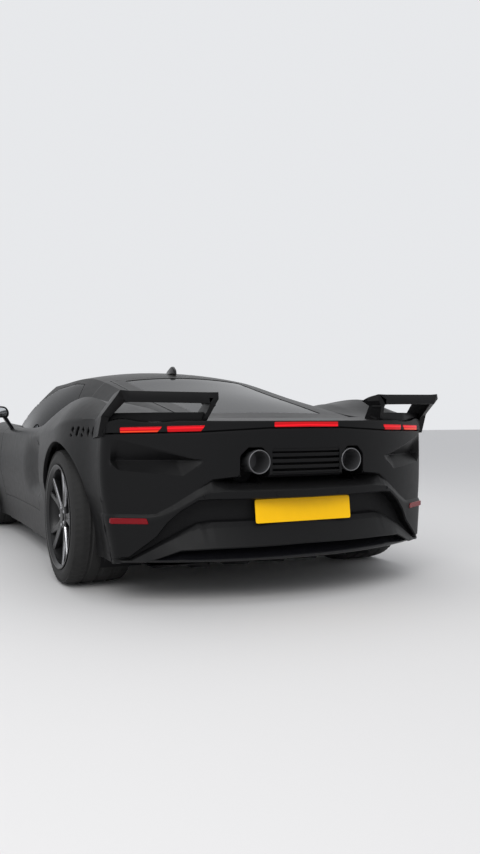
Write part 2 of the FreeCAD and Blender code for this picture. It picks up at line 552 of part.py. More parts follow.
# Engine lid and its glass; a short barrel hinge at the middle of the lid's front edge
lid_glass_outline = ((-LID_GLASS_FRONT_X, LID_GLASS_FRONT_Y), (LID_GLASS_FRONT_X, LID_GLASS_FRONT_Y),
                     (LID_GLASS_REAR_X, LID_GLASS_REAR_Y), (-LID_GLASS_REAR_X, LID_GLASS_REAR_Y))
lid_window = plan_prism(lid_glass_outline, LID_Z[0], TOP)
hinge_at = (HINGE_Y, HINGE_Z)
pin = cylinder_x(-HINGE_HALF, HINGE_HALF, *hinge_at, HINGE_PIN_R)
for sign in (1, -1):
    a, b = sorted((sign * (HINGE_HALF / 2 + PIN_CLEARANCE), sign * HINGE_HALF))
    pin = pin.fuse([cylinder_x(a, b, *hinge_at, HINGE_R), box(a, b, HINGE_Y - HINGE_EAR, HINGE_Y, HINGE_Z - HINGE_R,
                                                                  HINGE_Z + HINGE_EAR_TOP)])
hinge_room = cylinder_x(-HINGE_HALF - 1, HINGE_HALF + 1, *hinge_at, HINGE_R + 1)
parts["roof_frame"] = parts["roof_frame"].cut(hinge_room).fuse(pin).removeSplitter()
eye = cylinder_x(-HINGE_HALF / 2, HINGE_HALF / 2, *hinge_at, HINGE_R).fuse(
    box(-HINGE_HALF / 2, HINGE_HALF / 2, HINGE_Y, HINGE_Y + HINGE_EAR, HINGE_Z - HINGE_R, HINGE_Z + HINGE_EAR_TOP)).cut(
    cylinder_x(-HINGE_HALF, HINGE_HALF, *hinge_at, HINGE_PIN_R + PIN_CLEARANCE))
parts["engine_lid"] = shell.common(lid_zone(0)).cut(lid_window).cut(hinge_room).fuse(eye).removeSplitter()
parts["engine_glass"] = canopy_outer.cut(canopy_loft(GLASS)).common(lid_window).cut(lower_outer)

# Tail: lip panel, fascia and bumper, gloss trim, lamps, plate
lamp_pockets = [lip_strip(BRAKE_LAMP[0], BRAKE_LAMP[1], LIP_BOTTOM_Z, LIP_BOTTOM_Z + LAMP_H, 0, TAIL_Y + 50)]
for x0, x1 in TAIL_LAMPS:
    lamp_pockets.append(pair(lip_strip(x0, x1, LIP_BOTTOM_Z, LIP_BOTTOM_Z + LAMP_H, 0, TAIL_Y + 50)))
reflectors = pair(rear_prism(REFLECTOR, CORNER_Y, TAIL_Y + 50))
lamp_zone = Part.makeCompound(lamp_pockets + [reflectors])
parts["tail_panel"] = shell.common(lip_zone).cut(lamp_pockets)
parts["tail_lamps"] = tail_band(3, PANEL / 2).common(lamp_zone)
fascia_cuts = [rear_prism(outline, CORNER_Y - 300, TAIL_Y + 50) for outline in (OCTAGON, CORNER_VENT, TRIM_OUTLINE)]
fascia_cuts = [pair(cut) for cut in fascia_cuts]
fascia_cuts.append(box(-GRILLE_HALF, GRILLE_HALF, CORNER_Y - 300, TAIL_Y + 50, GRILLE_LOW_Z, GRILLE_HIGH_Z))
fascia_cuts.append(tail_band(3, PANEL / 2).common(reflectors))
pocket = pair(rear_prism(grown(CORNER_VENT, VENT_WALL), CORNER_Y, TAIL_Y + 50)).common(
    tail_band(VENT_WALL - PANEL, VENT_DEPTH + VENT_WALL)).cut(
    pair(rear_prism(CORNER_VENT, CORNER_Y - 300, TAIL_Y + 50)).common(tail_band(0, VENT_DEPTH)))
parts["rear_bumper"] = cut_each(shell.common(fascia_zone), fascia_cuts + [arches["rear"]]).fuse(
    pocket.common(inner)).removeSplitter()
trim_deep = 3 * PANEL
tail_centre_y = TAIL_FACE_Y - TAIL_PLAN_R
upper_bar = tail_band(BAR_REACH, trim_deep).common(
    box(-TRIM_HALF, TRIM_HALF, 0, TAIL_Y + 50, BAR_BOTTOM_Z, BAR_TOP_Z)).common(
    rear_prism(both_halves(TRIM_OUTLINE), CORNER_Y - 300, TAIL_Y + 50))
shelf_in = trim_deep + 40
shelf = Part.makeCone(TAIL_PLAN_R + BAR_REACH, TAIL_PLAN_R - shelf_in, SHELF_Z - BAR_TOP_Z,
                      V(0, tail_centre_y, BAR_TOP_Z)).cut(
    Part.makeCylinder(TAIL_PLAN_R - shelf_in - TRIM_T, 200, V(0, tail_centre_y, BAR_TOP_Z - 50))).common(
    box(-560, 560, CORNER_Y - 100, TAIL_Y + 50, BAR_TOP_Z, SHELF_Z))
recess_wall = tail_band(-RECESS_IN, trim_deep).common(
    box(-TRIM_HALF, TRIM_HALF, 0, TAIL_Y, RECESS_BOTTOM_Z - 10, BAR_BOTTOM_Z + 10))
bar_slope = Part.makeCone(TAIL_PLAN_R + BAR_REACH, TAIL_PLAN_R - LOWER_BAR_TOP_IN, RECESS_BOTTOM_Z - LOWER_BAR_EDGE_Z,
                          V(0, tail_centre_y, LOWER_BAR_EDGE_Z)).fuse(
    Part.makeCylinder(TAIL_PLAN_R + BAR_REACH, LOWER_BAR_EDGE_Z, V(0, tail_centre_y, 0)))
lower_bar = tail_band(BAR_REACH, trim_deep).common(bar_slope).common(
    rear_prism(both_halves(LOWER_BAR), CORNER_Y - 300, TAIL_Y + 50))
parts["rear_trim"] = upper_bar.fuse([shelf, recess_wall, lower_bar]).removeSplitter()
plate = box(-PLATE_W / 2, PLATE_W / 2, 0, PLATE_T, -PLATE_H / 2, PLATE_H / 2)
plate.rotate(V(0, 0, 0), X_AXIS, PLATE_TILT)
plate_low_z = PLATE_Z - PLATE_H / 2 * math.cos(math.radians(PLATE_TILT))
bar_rake = (BAR_REACH + LOWER_BAR_TOP_IN) / (RECESS_BOTTOM_Z - LOWER_BAR_EDGE_Z)
bar_face_y = TAIL_FACE_Y - LOWER_BAR_TOP_IN + (RECESS_BOTTOM_Z - plate_low_z) * bar_rake
plate.translate(V(0, bar_face_y + SEAT_GAP - PLATE_H / 2 * math.sin(math.radians(PLATE_TILT)), PLATE_Z))
parts["number_plate"] = plate

# Exhausts, rear grille and diffuser
silencer = box(-EXHAUST_X - SILENCER_IN, EXHAUST_X + SILENCER_IN, SILENCER_Y0, SILENCER_Y1,
               EXHAUST_Z - SILENCER_HALF_H, EXHAUST_Z + SILENCER_HALF_H)
pipes = []
for sign in (1, -1):
    centre = V(sign * EXHAUST_X, SILENCER_Y1 - 10, EXHAUST_Z)
    length = EXHAUST_END_Y - centre.y
    pipes.append(Part.makeCylinder(EXHAUST_R, length, centre, Y_AXIS))
    silencer = silencer.fuse(pipes[-1])
    bore_start = V(centre.x, centre.y + PIPE_BORE_IN, centre.z)
    silencer = silencer.cut(Part.makeCylinder(EXHAUST_R - EXHAUST_WALL, length, bore_start, Y_AXIS))
bracket = side_prism(BRACKET, -BRACKET_HALF, BRACKET_HALF)
parts["tailpipes"] = silencer.fuse(bracket).removeSplitter()
grille_zone = box(-GRILLE_HALF, GRILLE_HALF, CORNER_Y, TAIL_Y, GRILLE_LOW_Z, GRILLE_HIGH_Z)
bar_heights = [GRILLE_LOW_Z + i * GRILLE_BAR_PITCH for i in range(GRILLE_BAR_COUNT)] + [GRILLE_HIGH_Z - GRILLE_BAR_T]
bars = [box(-GRILLE_HALF, GRILLE_HALF, CORNER_Y, TAIL_Y, z, z + GRILLE_BAR_T) for z in bar_heights]
bars += [box(x, x + GRILLE_BAR_T, CORNER_Y, TAIL_Y, GRILLE_LOW_Z, GRILLE_HIGH_Z)
         for x in (-GRILLE_HALF, GRILLE_HALF - GRILLE_BAR_T)]
parts["rear_grille"] = tail_band(-4, PANEL + 10).common(bars[0].fuse(bars[1:]))
diffuser = side_prism(DIFFUSER, -DIFFUSER_HALF, DIFFUSER_HALF)
strakes = [side_prism(STRAKE, x - STRAKE_T / 2, x + STRAKE_T / 2) for x in STRAKE_XS]
parts["rear_diffuser"] = diffuser.fuse(strakes).common(plan_envelope(3 * PANEL)).removeSplitter()

# Tail fins, one loop-shaped wing on each rear corner
wing = ruled([[V(x, y, z) for y, z in points] for x, *points in FIN_WING])
outer_plate = ruled([[V(x, y, z) for x, y in points] for z, *points in FIN_PLATE])
inner_plate = side_prism(FIN_INNER, FIN_WING[0][0], FIN_WING[0][0] + FIN_T)
fin = wing.fuse([outer_plate, inner_plate]).cut(outer)
parts["tail_fins"] = pair(fin)

# Cabin: tub with floor, bulkheads and chassis rails
engine_half, engine_y0, engine_y1, engine_top = ENGINE
tub_front_y = DOOR_FRONT_Y - MOVING_GAP
floor_low = FLOOR_Z + UNDERFLOOR_T
floor_top = floor_low + TUB_T
floor = box(-TUB_HALF, TUB_HALF, tub_front_y, BULKHEAD_Y + TUB_T, floor_low, floor_top)
side_walls = pair(box(TUB_HALF - TUB_WALL, TUB_HALF, tub_front_y, BULKHEAD_Y, floor_top, DOOR_LOW_Z))
dash_y = tub_front_y + FRONT_BULKHEAD_T
front_bulkhead = inner.common(box(-TUB_HALF, TUB_HALF, tub_front_y, dash_y, floor_top, FRONT_BULKHEAD_TOP))
rear_bulkhead = inner.common(box(-TUB_HALF, TUB_HALF, BULKHEAD_Y, BULKHEAD_Y + TUB_T, floor_top, TOP)).cut(
    box(-REAR_PORT_HALF, REAR_PORT_HALF, BULKHEAD_Y - 10, BULKHEAD_Y + TUB_T + 10, *REAR_PORT_Z))
rails = []
for x, y0, y1, wheel in ((FRONT_RAIL_X, FRONT_RAIL_Y, tub_front_y, FRONT_WHEEL),
                         (REAR_RAIL_X, BULKHEAD_Y + TUB_T, REAR_RAIL_END_Y, REAR_WHEEL)):
    rail = box(x, x + RAIL_W, y0, y1, wheel["r"] - BALL_DROP - RAIL_H / 2, wheel["r"] - BALL_DROP + RAIL_H / 2)
    tower = box(x, x + RAIL_W, wheel["y"] - TOWER_HALF, wheel["y"] + TOWER_HALF, wheel["r"] - BALL_DROP,
                wheel["r"] + BALL_DROP + TOWER_RISE)
    rails += [pair(rail), pair(tower)]
shaft_bore = cylinder_x(engine_half, KINGPIN_X, REAR_WHEEL["y"], REAR_WHEEL["r"], STUB_R + MOVING_GAP)
parts["cabin_tub"] = floor.fuse([side_walls, front_bulkhead, rear_bulkhead] + rails).cut(
    pair(shaft_bore)).removeSplitter()

# Underbody: flat floor, wheel well liners and the front luggage tray between the rails
parts["underfloor"] = plan_prism(both_halves(FLOOR_PLAN), FLOOR_Z, floor_low).common(plan_envelope(SPLITTER_DEPTH))
liners = [
    well(FRONT_WHEEL, FRONT_WELL_R + LINER_T, FLOOR_Z, FRONT_WELL_TOP + LINER_T, FRONT_WELL_OUTER_X).cut(wells["front"]),
    well(REAR_WHEEL, REAR_WELL_R + LINER_T, FLOOR_Z, REAR_WELL_TOP + LINER_T, REAR_WELL_OUTER_X).cut(wells["rear"])]
parts["wheel_liners"] = pair(liners[0].common(inner).fuse(liners[1].common(inner)))

tray_half = FRONT_RAIL_X - SEAT_GAP
parts["luggage_tray"] = box(-tray_half, tray_half, TRAY_Y0, TRAY_Y1, TRAY_Z0, TRAY_Z1).cut(
    box(-tray_half + LINER_T, tray_half - LINER_T, TRAY_Y0 + LINER_T, TRAY_Y1 - LINER_T, TRAY_Z0 + LINER_T, TRAY_Z1))

# Cabin fittings
seat_profile = [(y, floor_top + z) for y, z in SEAT_PROFILE]
parts["seats"] = pair(side_prism(seat_profile, SEAT_X - SEAT_W / 2, SEAT_X + SEAT_W / 2))
dash = side_prism([(dash_y + y, z) for y, z in DASH_PROFILE], -TUB_HALF + DASH_IN, TUB_HALF - DASH_IN)
console = side_prism([(dash_y + y, floor_top + z) for y, z in CONSOLE_PROFILE], -CONSOLE_HALF, CONSOLE_HALF)
tilt = math.radians(WHEEL_TILT)
column_way = V(0, -math.cos(tilt), -math.sin(tilt))
wheel_centre = V(*WHEEL_CENTRE)
column = Part.makeCylinder(COLUMN_R, COLUMN_L, wheel_centre + column_way * (BOSS_LOW + SEAT_GAP), column_way)
parts["dashboard"] = dash.fuse([console, column]).removeSplitter()
grip = [(WHEEL_RIM_R - WHEEL_GRIP, 0), (WHEEL_RIM_R, WHEEL_GRIP), (WHEEL_RIM_R + WHEEL_GRIP, 0), (WHEEL_RIM_R, -WHEEL_GRIP)]
ring = face([V(r, 0, z) for r, z in grip]).revolve(V(0, 0, 0), Z_AXIS, 360)
boss = Part.makeCylinder(BOSS_R, BOSS_T, V(0, 0, -BOSS_LOW))
spokes = [box(0, WHEEL_RIM_R, -GRIP_SPOKE_HALF, GRIP_SPOKE_HALF, -GRIP_SPOKE_T, GRIP_SPOKE_T).rotated(
    V(0, 0, 0), Z_AXIS, a) for a in (0, 180, 270)]
steering = ring.fuse([boss] + spokes).removeSplitter()
steering.rotate(V(0, 0, 0), X_AXIS, -(90 - WHEEL_TILT))
steering.translate(wheel_centre)
parts["steering_wheel"] = steering
gearbox_half, gearbox_y1, gearbox_top = GEARBOX
parts["engine_block"] = box(-engine_half, engine_half, engine_y0, engine_y1, floor_low, engine_top).fuse(
    box(-gearbox_half, gearbox_half, engine_y1, gearbox_y1, floor_low, gearbox_top)).removeSplitter()
parts["roof_antenna"] = side_prism(ANTENNA, -ANTENNA_T / 2, ANTENNA_T / 2).cut(outer)


# Wheels and their carriers

def tyre(w):
    half, r = w["w"] / 2, w["r"]
    profile = [(-half, RIM_SEAT_R), (-half, r - SHOULDER), (-half + SHOULDER, r)]
    profile += [(-x, y) for x, y in reversed(profile)]
    return turned([(w["x"] + x, radius) for x, radius in profile], w["y"], w["r"])


def rim(w, shaft_end):
    """Barrel, five forked spokes, hub and stub axle in one piece."""
    seat = w["w"] / 2
    out = w["x"] + seat + RIM_EDGE
    barrel = turned([(w["x"] - seat, RIM_SEAT_R), (w["x"] + seat, RIM_SEAT_R), (w["x"] + seat, RIM_FLANGE_R),
                     (out, RIM_FLANGE_R), (out - RIM_DISH, RIM_INNER_R), (w["x"] - seat, RIM_INNER_R)], w["y"], w["r"])
    x0, x1 = out - RIM_DISH, out - SPOKE_IN
    solids = [barrel, cylinder_x(x0, x1, w["y"], w["r"], HUB_R), cylinder_x(shaft_end, x0 + 1, w["y"], w["r"], STUB_R)]
    for i in range(SPOKE_COUNT):
        for flip in (1, -1):
            outline = [(flip * a, b) for a, b in SPOKE_LEG]
            spoke = side_prism(outline, x0, x1)
            spoke.rotate(V(0, 0, 0), X_AXIS, 360.0 * i / SPOKE_COUNT)
            spoke.translate(V(0, w["y"], w["r"]))
            solids.append(spoke)
    return solids[0].fuse(solids[1:]).removeSplitter()


def disc_x(w):
    return w["x"] + w["w"] / 2 - DISC_IN


def sector(w, x0, x1, r0, r1, flip):
    """A stretch of ring beside the axle, fore or aft of it, that spans 60 degrees."""
    ring = cylinder_x(x0, x1, w["y"], w["r"], r1).cut(cylinder_x(x0, x1, w["y"], w["r"], r0))
    reach, rise = 400.0, 400.0 * math.tan(math.radians(30))
    wedge = [(w["y"], w["r"]), (w["y"] + flip * reach, w["r"] - rise), (w["y"] + flip * reach, w["r"] + rise)]
    return ring.common(side_prism(wedge, x0, x1))


def knuckle(w, ball_x, flip):
    """Upright with its hub bore, two ball sockets and the brake caliper that it carries."""
    y, z = w["y"], w["r"]
    x_disc = disc_x(w)
    reach = w["disc"] + CALIPER_RISE
    half = BALL_DROP - SOCKET_EDGE
    upright = box(ball_x - UPRIGHT_HALF_X, ball_x + UPRIGHT_HALF_X, y - UPRIGHT_HALF_Y, y + UPRIGHT_HALF_Y,
                  z - half, z + half)
    hub = cylinder_x(ball_x - STUB_R, x_disc - 12, y, z, HUB_R)
    caliper = sector(w, x_disc - CALIPER_SIDE, x_disc + DISC_T + CALIPER_SIDE, CALIPER_INNER_R, reach, flip).cut(
        sector(w, x_disc - DISC_CLEARANCE, x_disc + DISC_T + DISC_CLEARANCE, CALIPER_INNER_R - 30,
               w["disc"] + 3, flip))
    arm = sector(w, ball_x - 20, x_disc - DISC_CLEARANCE, 50, reach, flip).cut(
        sector(w, ball_x - 21, x_disc - 7, CALIPER_INNER_R + 10, reach + 8, flip))
    body = upright.fuse([hub, arm, caliper])
    body = body.cut(cylinder_x(ball_x - 2 * STUB_R, x_disc + 2 * STUB_R, y, z, STUB_R + PIN_CLEARANCE))
    sockets = Part.makeCylinder(BALL_R + PIN_CLEARANCE, 2 * BALL_DROP, V(ball_x, y, z - BALL_DROP))
    inside = BALL_DROP - PIN_DEPTH
    sockets = sockets.cut(box(ball_x - 50, ball_x + 50, y - 50, y + 50, z - inside, z + inside))
    return body.cut(sockets).removeSplitter()


def wishbones(w, ball_x, rail_x):
    """Upper and lower arm, each with the ball pin that stands in the upright's socket."""
    y, z = w["y"], w["r"]
    arms = []
    for sign in (-1, 1):
        low, high = sorted((z + sign * (BALL_DROP - SOCKET_EDGE + PIN_CLEARANCE), z + sign * (BALL_DROP + SOCKET_EDGE)))
        arm = Part.makeCylinder(ARM_R, high - low, V(ball_x, y, low))
        legs = [plan_prism(((ball_x, y + f * LEG_HALF), (ball_x, y - f * LEG_HALF), (rail_x, y + f * LEG_SPREAD[0]),
                            (rail_x, y + f * LEG_SPREAD[1])), low, high) for f in (1, -1)]
        pin_low, pin_high = sorted((z + sign * (BALL_DROP - PIN_DEPTH + PIN_CLEARANCE), z + sign * (BALL_DROP - SOCKET_EDGE)))
        pin = Part.makeCylinder(BALL_R, pin_high - pin_low + 2, V(ball_x, y, pin_low - (2 if sign < 0 else 0)))
        arms.append(arm.fuse(legs + [pin]).removeSplitter())
    return arms


arms = wishbones(FRONT_WHEEL, KINGPIN_X, FRONT_RAIL_X + RAIL_W) + wishbones(REAR_WHEEL, REAR_BALL_X, REAR_RAIL_X + RAIL_W)
parts["wishbones"] = Part.makeCompound([pair(arm) for arm in arms])
parts["rear_knuckles"] = pair(knuckle(REAR_WHEEL, REAR_BALL_X, -1))
front_knuckle = knuckle(FRONT_WHEEL, KINGPIN_X, 1)
wheels = {"front": (FRONT_WHEEL, KINGPIN_X - 40), "rear": (REAR_WHEEL, engine_half + SEAT_GAP)}
for side, sign in SIDES:
    parts["knuckle_front_" + side] = front_knuckle if sign > 0 else mirrored(front_knuckle)
for end, (w, shaft_end) in wheels.items():
    wheel_rim, wheel_tyre = rim(w, shaft_end), tyre(w)
    disc = cylinder_x(disc_x(w), disc_x(w) + DISC_T, w["y"], w["r"], w["disc"]).cut(
        cylinder_x(disc_x(w), disc_x(w) + DISC_T, w["y"], w["r"], STUB_R))
    for side, sign in SIDES:
        for name, shape in (("rim", wheel_rim), ("tyre", wheel_tyre), ("brake_disc", disc)):
            parts["_".join((name, end, side))] = shape if sign > 0 else mirrored(shape)

os.makedirs("parts", exist_ok=True)
for name, shape in parts.items():
    shape.exportStep("parts/" + name + ".step")
    print(name, len(shape.Solids), round(shape.Volume / 1e6, 2), "" if shape.isValid() else "NOT VALID")
print(len(parts), "nodes")
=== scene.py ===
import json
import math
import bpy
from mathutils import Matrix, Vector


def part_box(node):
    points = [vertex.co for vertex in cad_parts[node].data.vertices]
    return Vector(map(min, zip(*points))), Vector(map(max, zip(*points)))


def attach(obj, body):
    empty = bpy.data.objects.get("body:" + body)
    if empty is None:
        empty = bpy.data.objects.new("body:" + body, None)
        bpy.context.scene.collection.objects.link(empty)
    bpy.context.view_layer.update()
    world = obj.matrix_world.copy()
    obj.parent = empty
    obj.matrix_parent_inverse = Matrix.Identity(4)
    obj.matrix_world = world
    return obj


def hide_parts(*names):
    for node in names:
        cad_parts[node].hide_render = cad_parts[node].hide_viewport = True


bl_info = {
    "name": "Supercar",
    "version": (1, 0, 0),
    "blender": (4, 5, 0),
    "location": "View3D > Sidebar > Supercar",
    "description": "Body panels, lamps, wheels and cabin of a mid-engined supercar, fitted to its packed frame",
    "category": "Object",
}

import bpy
import numpy as np
from bpy.props import FloatProperty, FloatVectorProperty, PointerProperty
from mathutils import Matrix

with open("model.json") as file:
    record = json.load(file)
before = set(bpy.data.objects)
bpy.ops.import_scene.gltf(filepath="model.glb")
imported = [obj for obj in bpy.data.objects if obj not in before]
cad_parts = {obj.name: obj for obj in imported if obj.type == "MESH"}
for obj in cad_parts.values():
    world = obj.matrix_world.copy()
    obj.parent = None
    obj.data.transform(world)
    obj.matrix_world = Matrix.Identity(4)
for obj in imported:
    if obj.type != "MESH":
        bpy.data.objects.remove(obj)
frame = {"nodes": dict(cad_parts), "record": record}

# The car's main lines, in metres: +X is its left, -Y its nose, +Z up
FRONT, REAR = -1.209, 1.441
NOSE_Y, TAIL_FACE_Y = -2.347, 2.340
NOSE_R, TAIL_R = 1.250, 1.480
GAP = 0.005
FLARE, FILLET = 0.008, 0.045
WALL = 0.020
SIDES = ((1, "left"), (-1, "right"))
ROLL_TURNS = np.radians((30, 60, 90))

# Half sections of the lower body. Columns: y, underside z and x, side x and z, shoulder crease x and z,
# fender top x and z, valley x and z, middle z
BODY_SECTIONS = np.array([
    (FRONT - 1.215, 0.120, 0.800, 0.900, 0.400, 0.880, 0.520, 0.790, 0.560, 0.420, 0.572, 0.575),
    (FRONT - 0.880, 0.120, 0.860, 0.945, 0.410, 0.925, 0.590, 0.810, 0.655, 0.450, 0.640, 0.645),
    (FRONT - 0.450, 0.120, 0.890, 0.982, 0.430, 0.962, 0.690, 0.820, 0.775, 0.480, 0.708, 0.705),
    (FRONT + 0.000, 0.120, 0.900, 0.985, 0.450, 0.966, 0.748, 0.818, 0.836, 0.520, 0.768, 0.765),
    (FRONT + 0.330, 0.120, 0.880, 0.960, 0.460, 0.940, 0.758, 0.812, 0.826, 0.560, 0.795, 0.796),
    (FRONT + 0.700, 0.120, 0.860, 0.930, 0.470, 0.912, 0.756, 0.812, 0.804, 0.620, 0.806, 0.810),
    (REAR - 1.400, 0.120, 0.860, 0.916, 0.480, 0.900, 0.750, 0.826, 0.800, 0.640, 0.812, 0.815),
    (REAR - 0.900, 0.120, 0.870, 0.930, 0.490, 0.915, 0.752, 0.826, 0.838, 0.650, 0.820, 0.815),
    (REAR - 0.540, 0.120, 0.880, 0.962, 0.500, 0.950, 0.772, 0.830, 0.915, 0.650, 0.872, 0.840),
    (REAR - 0.150, 0.120, 0.900, 0.994, 0.520, 0.976, 0.800, 0.835, 0.967, 0.645, 0.935, 0.870),
    (REAR + 0.060, 0.130, 0.900, 0.994, 0.530, 0.974, 0.838, 0.833, 0.975, 0.640, 0.945, 0.875),
    (REAR + 0.300, 0.170, 0.880, 0.944, 0.520, 0.934, 0.858, 0.812, 0.942, 0.630, 0.905, 0.868),
    (REAR + 0.430, 0.190, 0.866, 0.915, 0.500, 0.909, 0.860, 0.800, 0.902, 0.625, 0.880, 0.866),
    (REAR + 0.610, 0.200, 0.856, 0.905, 0.490, 0.901, 0.836, 0.786, 0.860, 0.615, 0.863, 0.861),
    (REAR + 0.800, 0.200, 0.852, 0.903, 0.485, 0.898, 0.823, 0.782, 0.843, 0.605, 0.851, 0.853),
    (REAR + 0.980, 0.200, 0.850, 0.901, 0.480, 0.896, 0.816, 0.780, 0.836, 0.600, 0.845, 0.849),
])
BULGES = (0.0, 0.010, 0.014, -0.007)

# Half sections of the canopy. Columns: y, foot x and z, rail x and z, middle z
CANOPY_SECTIONS = np.array([
    (FRONT + 0.150, 0.770, 0.700, 0.700, 1.010, 1.120),
    (FRONT + 0.600, 0.800, 0.700, 0.672, 1.060, 1.165),
    (FRONT + 1.209, 0.838, 0.740, 0.578, 1.108, 1.188),
    (REAR - 1.141, 0.800, 0.740, 0.530, 1.128, 1.178),
    (REAR - 0.800, 0.716, 0.760, 0.508, 1.098, 1.143),
    (REAR - 0.480, 0.660, 0.800, 0.503, 1.040, 1.078),
    (REAR - 0.100, 0.640, 0.820, 0.500, 0.969, 1.000),
    (REAR + 0.260, 0.610, 0.800, 0.500, 0.908, 0.924),
    (REAR + 0.640, 0.570, 0.780, 0.500, 0.832, 0.840),
])
CANOPY_BULGE = 0.026

# Panel outlines: side views (y, z), plan views (x, y) and rear views (x, z)
DOOR_OUTLINE = ((-0.580, 0.300), (0.640, 0.300), (0.688, 0.470), (0.590, 0.745), (0.556, 0.900), (-0.580, 0.900))
WINDOW_OUTLINE = ((-0.528, 0.770), (-0.528, 0.811), (-0.330, 0.945), (-0.040, 1.066), (0.240, 1.094), (0.400, 1.086),
                  (0.520, 0.960), (0.560, 0.770))
SIDE_SLOT = ((0.640, 0.735), (0.668, 0.735), (0.812, 0.406), (0.776, 0.400))
LOUVRE = ((0.000, -0.016), (0.028, -0.010), (0.050, 0.050), (0.016, 0.042))
LOUVRE_Y, LOUVRE_Z, LOUVRE_PITCH, LOUVRE_COUNT = 1.640, 0.782, 0.056, 6
LID_FRONT_Y, LID_REAR_Y, LID_HALF = 0.690, 1.975, 0.466
LID_GLASS = ((-0.395, 0.745), (0.395, 0.745), (0.372, 1.850), (-0.372, 1.850))

# Wheels: axle y and z, middle x, tyre radius and width
WHEELS = {"front": (FRONT, 0.3467, 0.839, 0.3467, 0.265), "rear": (REAR, 0.3515, 0.822, 0.3515, 0.325)}
ARCH_R = {"front": 0.385, "rear": 0.394}


# ---------------------------------------------------------------- shader expressions

class Wire:
    """A node socket as a value: Python's operators add Math nodes."""

    def __init__(self, tree, socket):
        self.tree, self.socket = tree, socket

    def _math(self, operation, *values):
        return node(self.tree, "ShaderNodeMath", {"operation": operation}, dict(enumerate(values)))

    def __add__(self, other):
        return self._math("ADD", self, other)

    def __radd__(self, other):
        return self._math("ADD", other, self)

    def __sub__(self, other):
        return self._math("SUBTRACT", self, other)

    def __rsub__(self, other):
        return self._math("SUBTRACT", other, self)

    def __mul__(self, other):
        return self._math("MULTIPLY", self, other)

    def __rmul__(self, other):
        return self._math("MULTIPLY", other, self)

    def __gt__(self, other):
        return self._math("GREATER_THAN", self, other)

    def abs(self):
        return self._math("ABSOLUTE", self)

    def clamp(self):
        return node(self.tree, "ShaderNodeClamp", {}, {"Value": self})


def node(tree, kind, settings=None, inputs=None, output=0):
    """Any node: its settings first, then the values or links of its sockets; gives its output as a Wire."""
    made = tree.nodes.new(kind)
    for name, value in (settings or {}).items():
        setattr(made, name, value)
    for name, value in (inputs or {}).items():
        if isinstance(value, Wire):
            tree.links.new(value.socket, made.inputs[name])
        elif value is not None:
            made.inputs[name].default_value = value
    return Wire(tree, made.outputs[output])


def mixed(tree, factor, a, b):
    """Colour a where factor is 0 and b where it is 1."""
    return node(tree, "ShaderNodeMix", {"data_type": "RGBA"}, {0: factor, 6: a, 7: b}, output=2)


def object_point(tree, scale=(1, 1, 1)):
    place = node(tree, "ShaderNodeTexCoord", output=3)
    return node(tree, "ShaderNodeMapping", {}, {"Vector": place, "Scale": scale})


def noise(tree, point, scale, detail=3.0, roughness=0.5):
    return node(tree, "ShaderNodeTexNoise", {},
                {"Vector": point, "Scale": scale, "Detail": detail, "Roughness": roughness})


def surface(name, base, roughness, constants=None, colour=None, rough=None, bump=None, bump_height=0.0005):
    """A principled material. colour, rough and bump are functions of the tree that give a Wire; constants go on
    sockets."""
    material = bpy.data.materials.new(name)
    material.use_nodes = True
    tree = material.node_tree
    shader = tree.nodes["Principled BSDF"]
    shader.inputs["Base Color"].default_value = (*base, 1)
    shader.inputs["Roughness"].default_value = roughness
    for key, value in (constants or {}).items():
        shader.inputs[key].default_value = value
    if colour:
        tree.links.new(colour(tree).socket, shader.inputs["Base Color"])
    if rough:
        tree.links.new(rough(tree).socket, shader.inputs["Roughness"])
    if bump:
        raised = node(tree, "ShaderNodeBump", {}, {"Height": bump(tree), "Distance": bump_height, "Strength": 1.0})
        tree.links.new(raised.socket, shader.inputs["Normal"])
    return material


# ---------------------------------------------------------------- shapes as arrays

def spline(knots, values, at):
    """Natural cubic through the knots: second derivatives from the tridiagonal system, then the cubic between two
    knots."""
    n, h = len(knots), np.diff(knots)
    slopes = np.diff(values, axis=0) / h[:, None]
    i = np.arange(1, n - 1)
    system, right = np.eye(n), np.zeros_like(values)
    system[i, i - 1], system[i, i], system[i, i + 1] = h[:-1], 2 * (h[:-1] + h[1:]), h[1:]
    right[1:-1] = 6 * np.diff(slopes, axis=0)
    second = np.linalg.solve(system, right)
    k = np.clip(np.searchsorted(knots, at) - 1, 0, n - 2)
    low, high = (at - knots[k])[..., None], (knots[k + 1] - at)[..., None]
    step = h[k][..., None]
    return ((second[k] * high ** 3 + second[k + 1] * low ** 3) / (6 * step)
            + (values[k] / step - second[k] * step / 6) * high + (values[k + 1] / step - second[k + 1] * step / 6)
            * low)


def profile_point(points, bulges, t):
    """The point at t on a path of arcs: between corners i and i + 1 the chord plus 4 bulge f (1 - f) along its outward
    normal."""
    i = np.clip(t.astype(int), 0, len(points) - 2)
    f = t - i
    ends = np.stack(points)
    a = np.take_along_axis(ends, i[None, ..., None], 0)[0]
    b = np.take_along_axis(ends, i[None, ..., None] + 1, 0)[0]
    way = b - a
    size = np.maximum(np.linalg.norm(way, axis=-1), 1e-9)
    lift = 4 * np.array(bulges)[i] * f * (1 - f) / size
    return a[..., 0] + f * way[..., 0] + lift * way[..., 1], a[..., 1] + f * way[..., 1] - lift * way[..., 0]


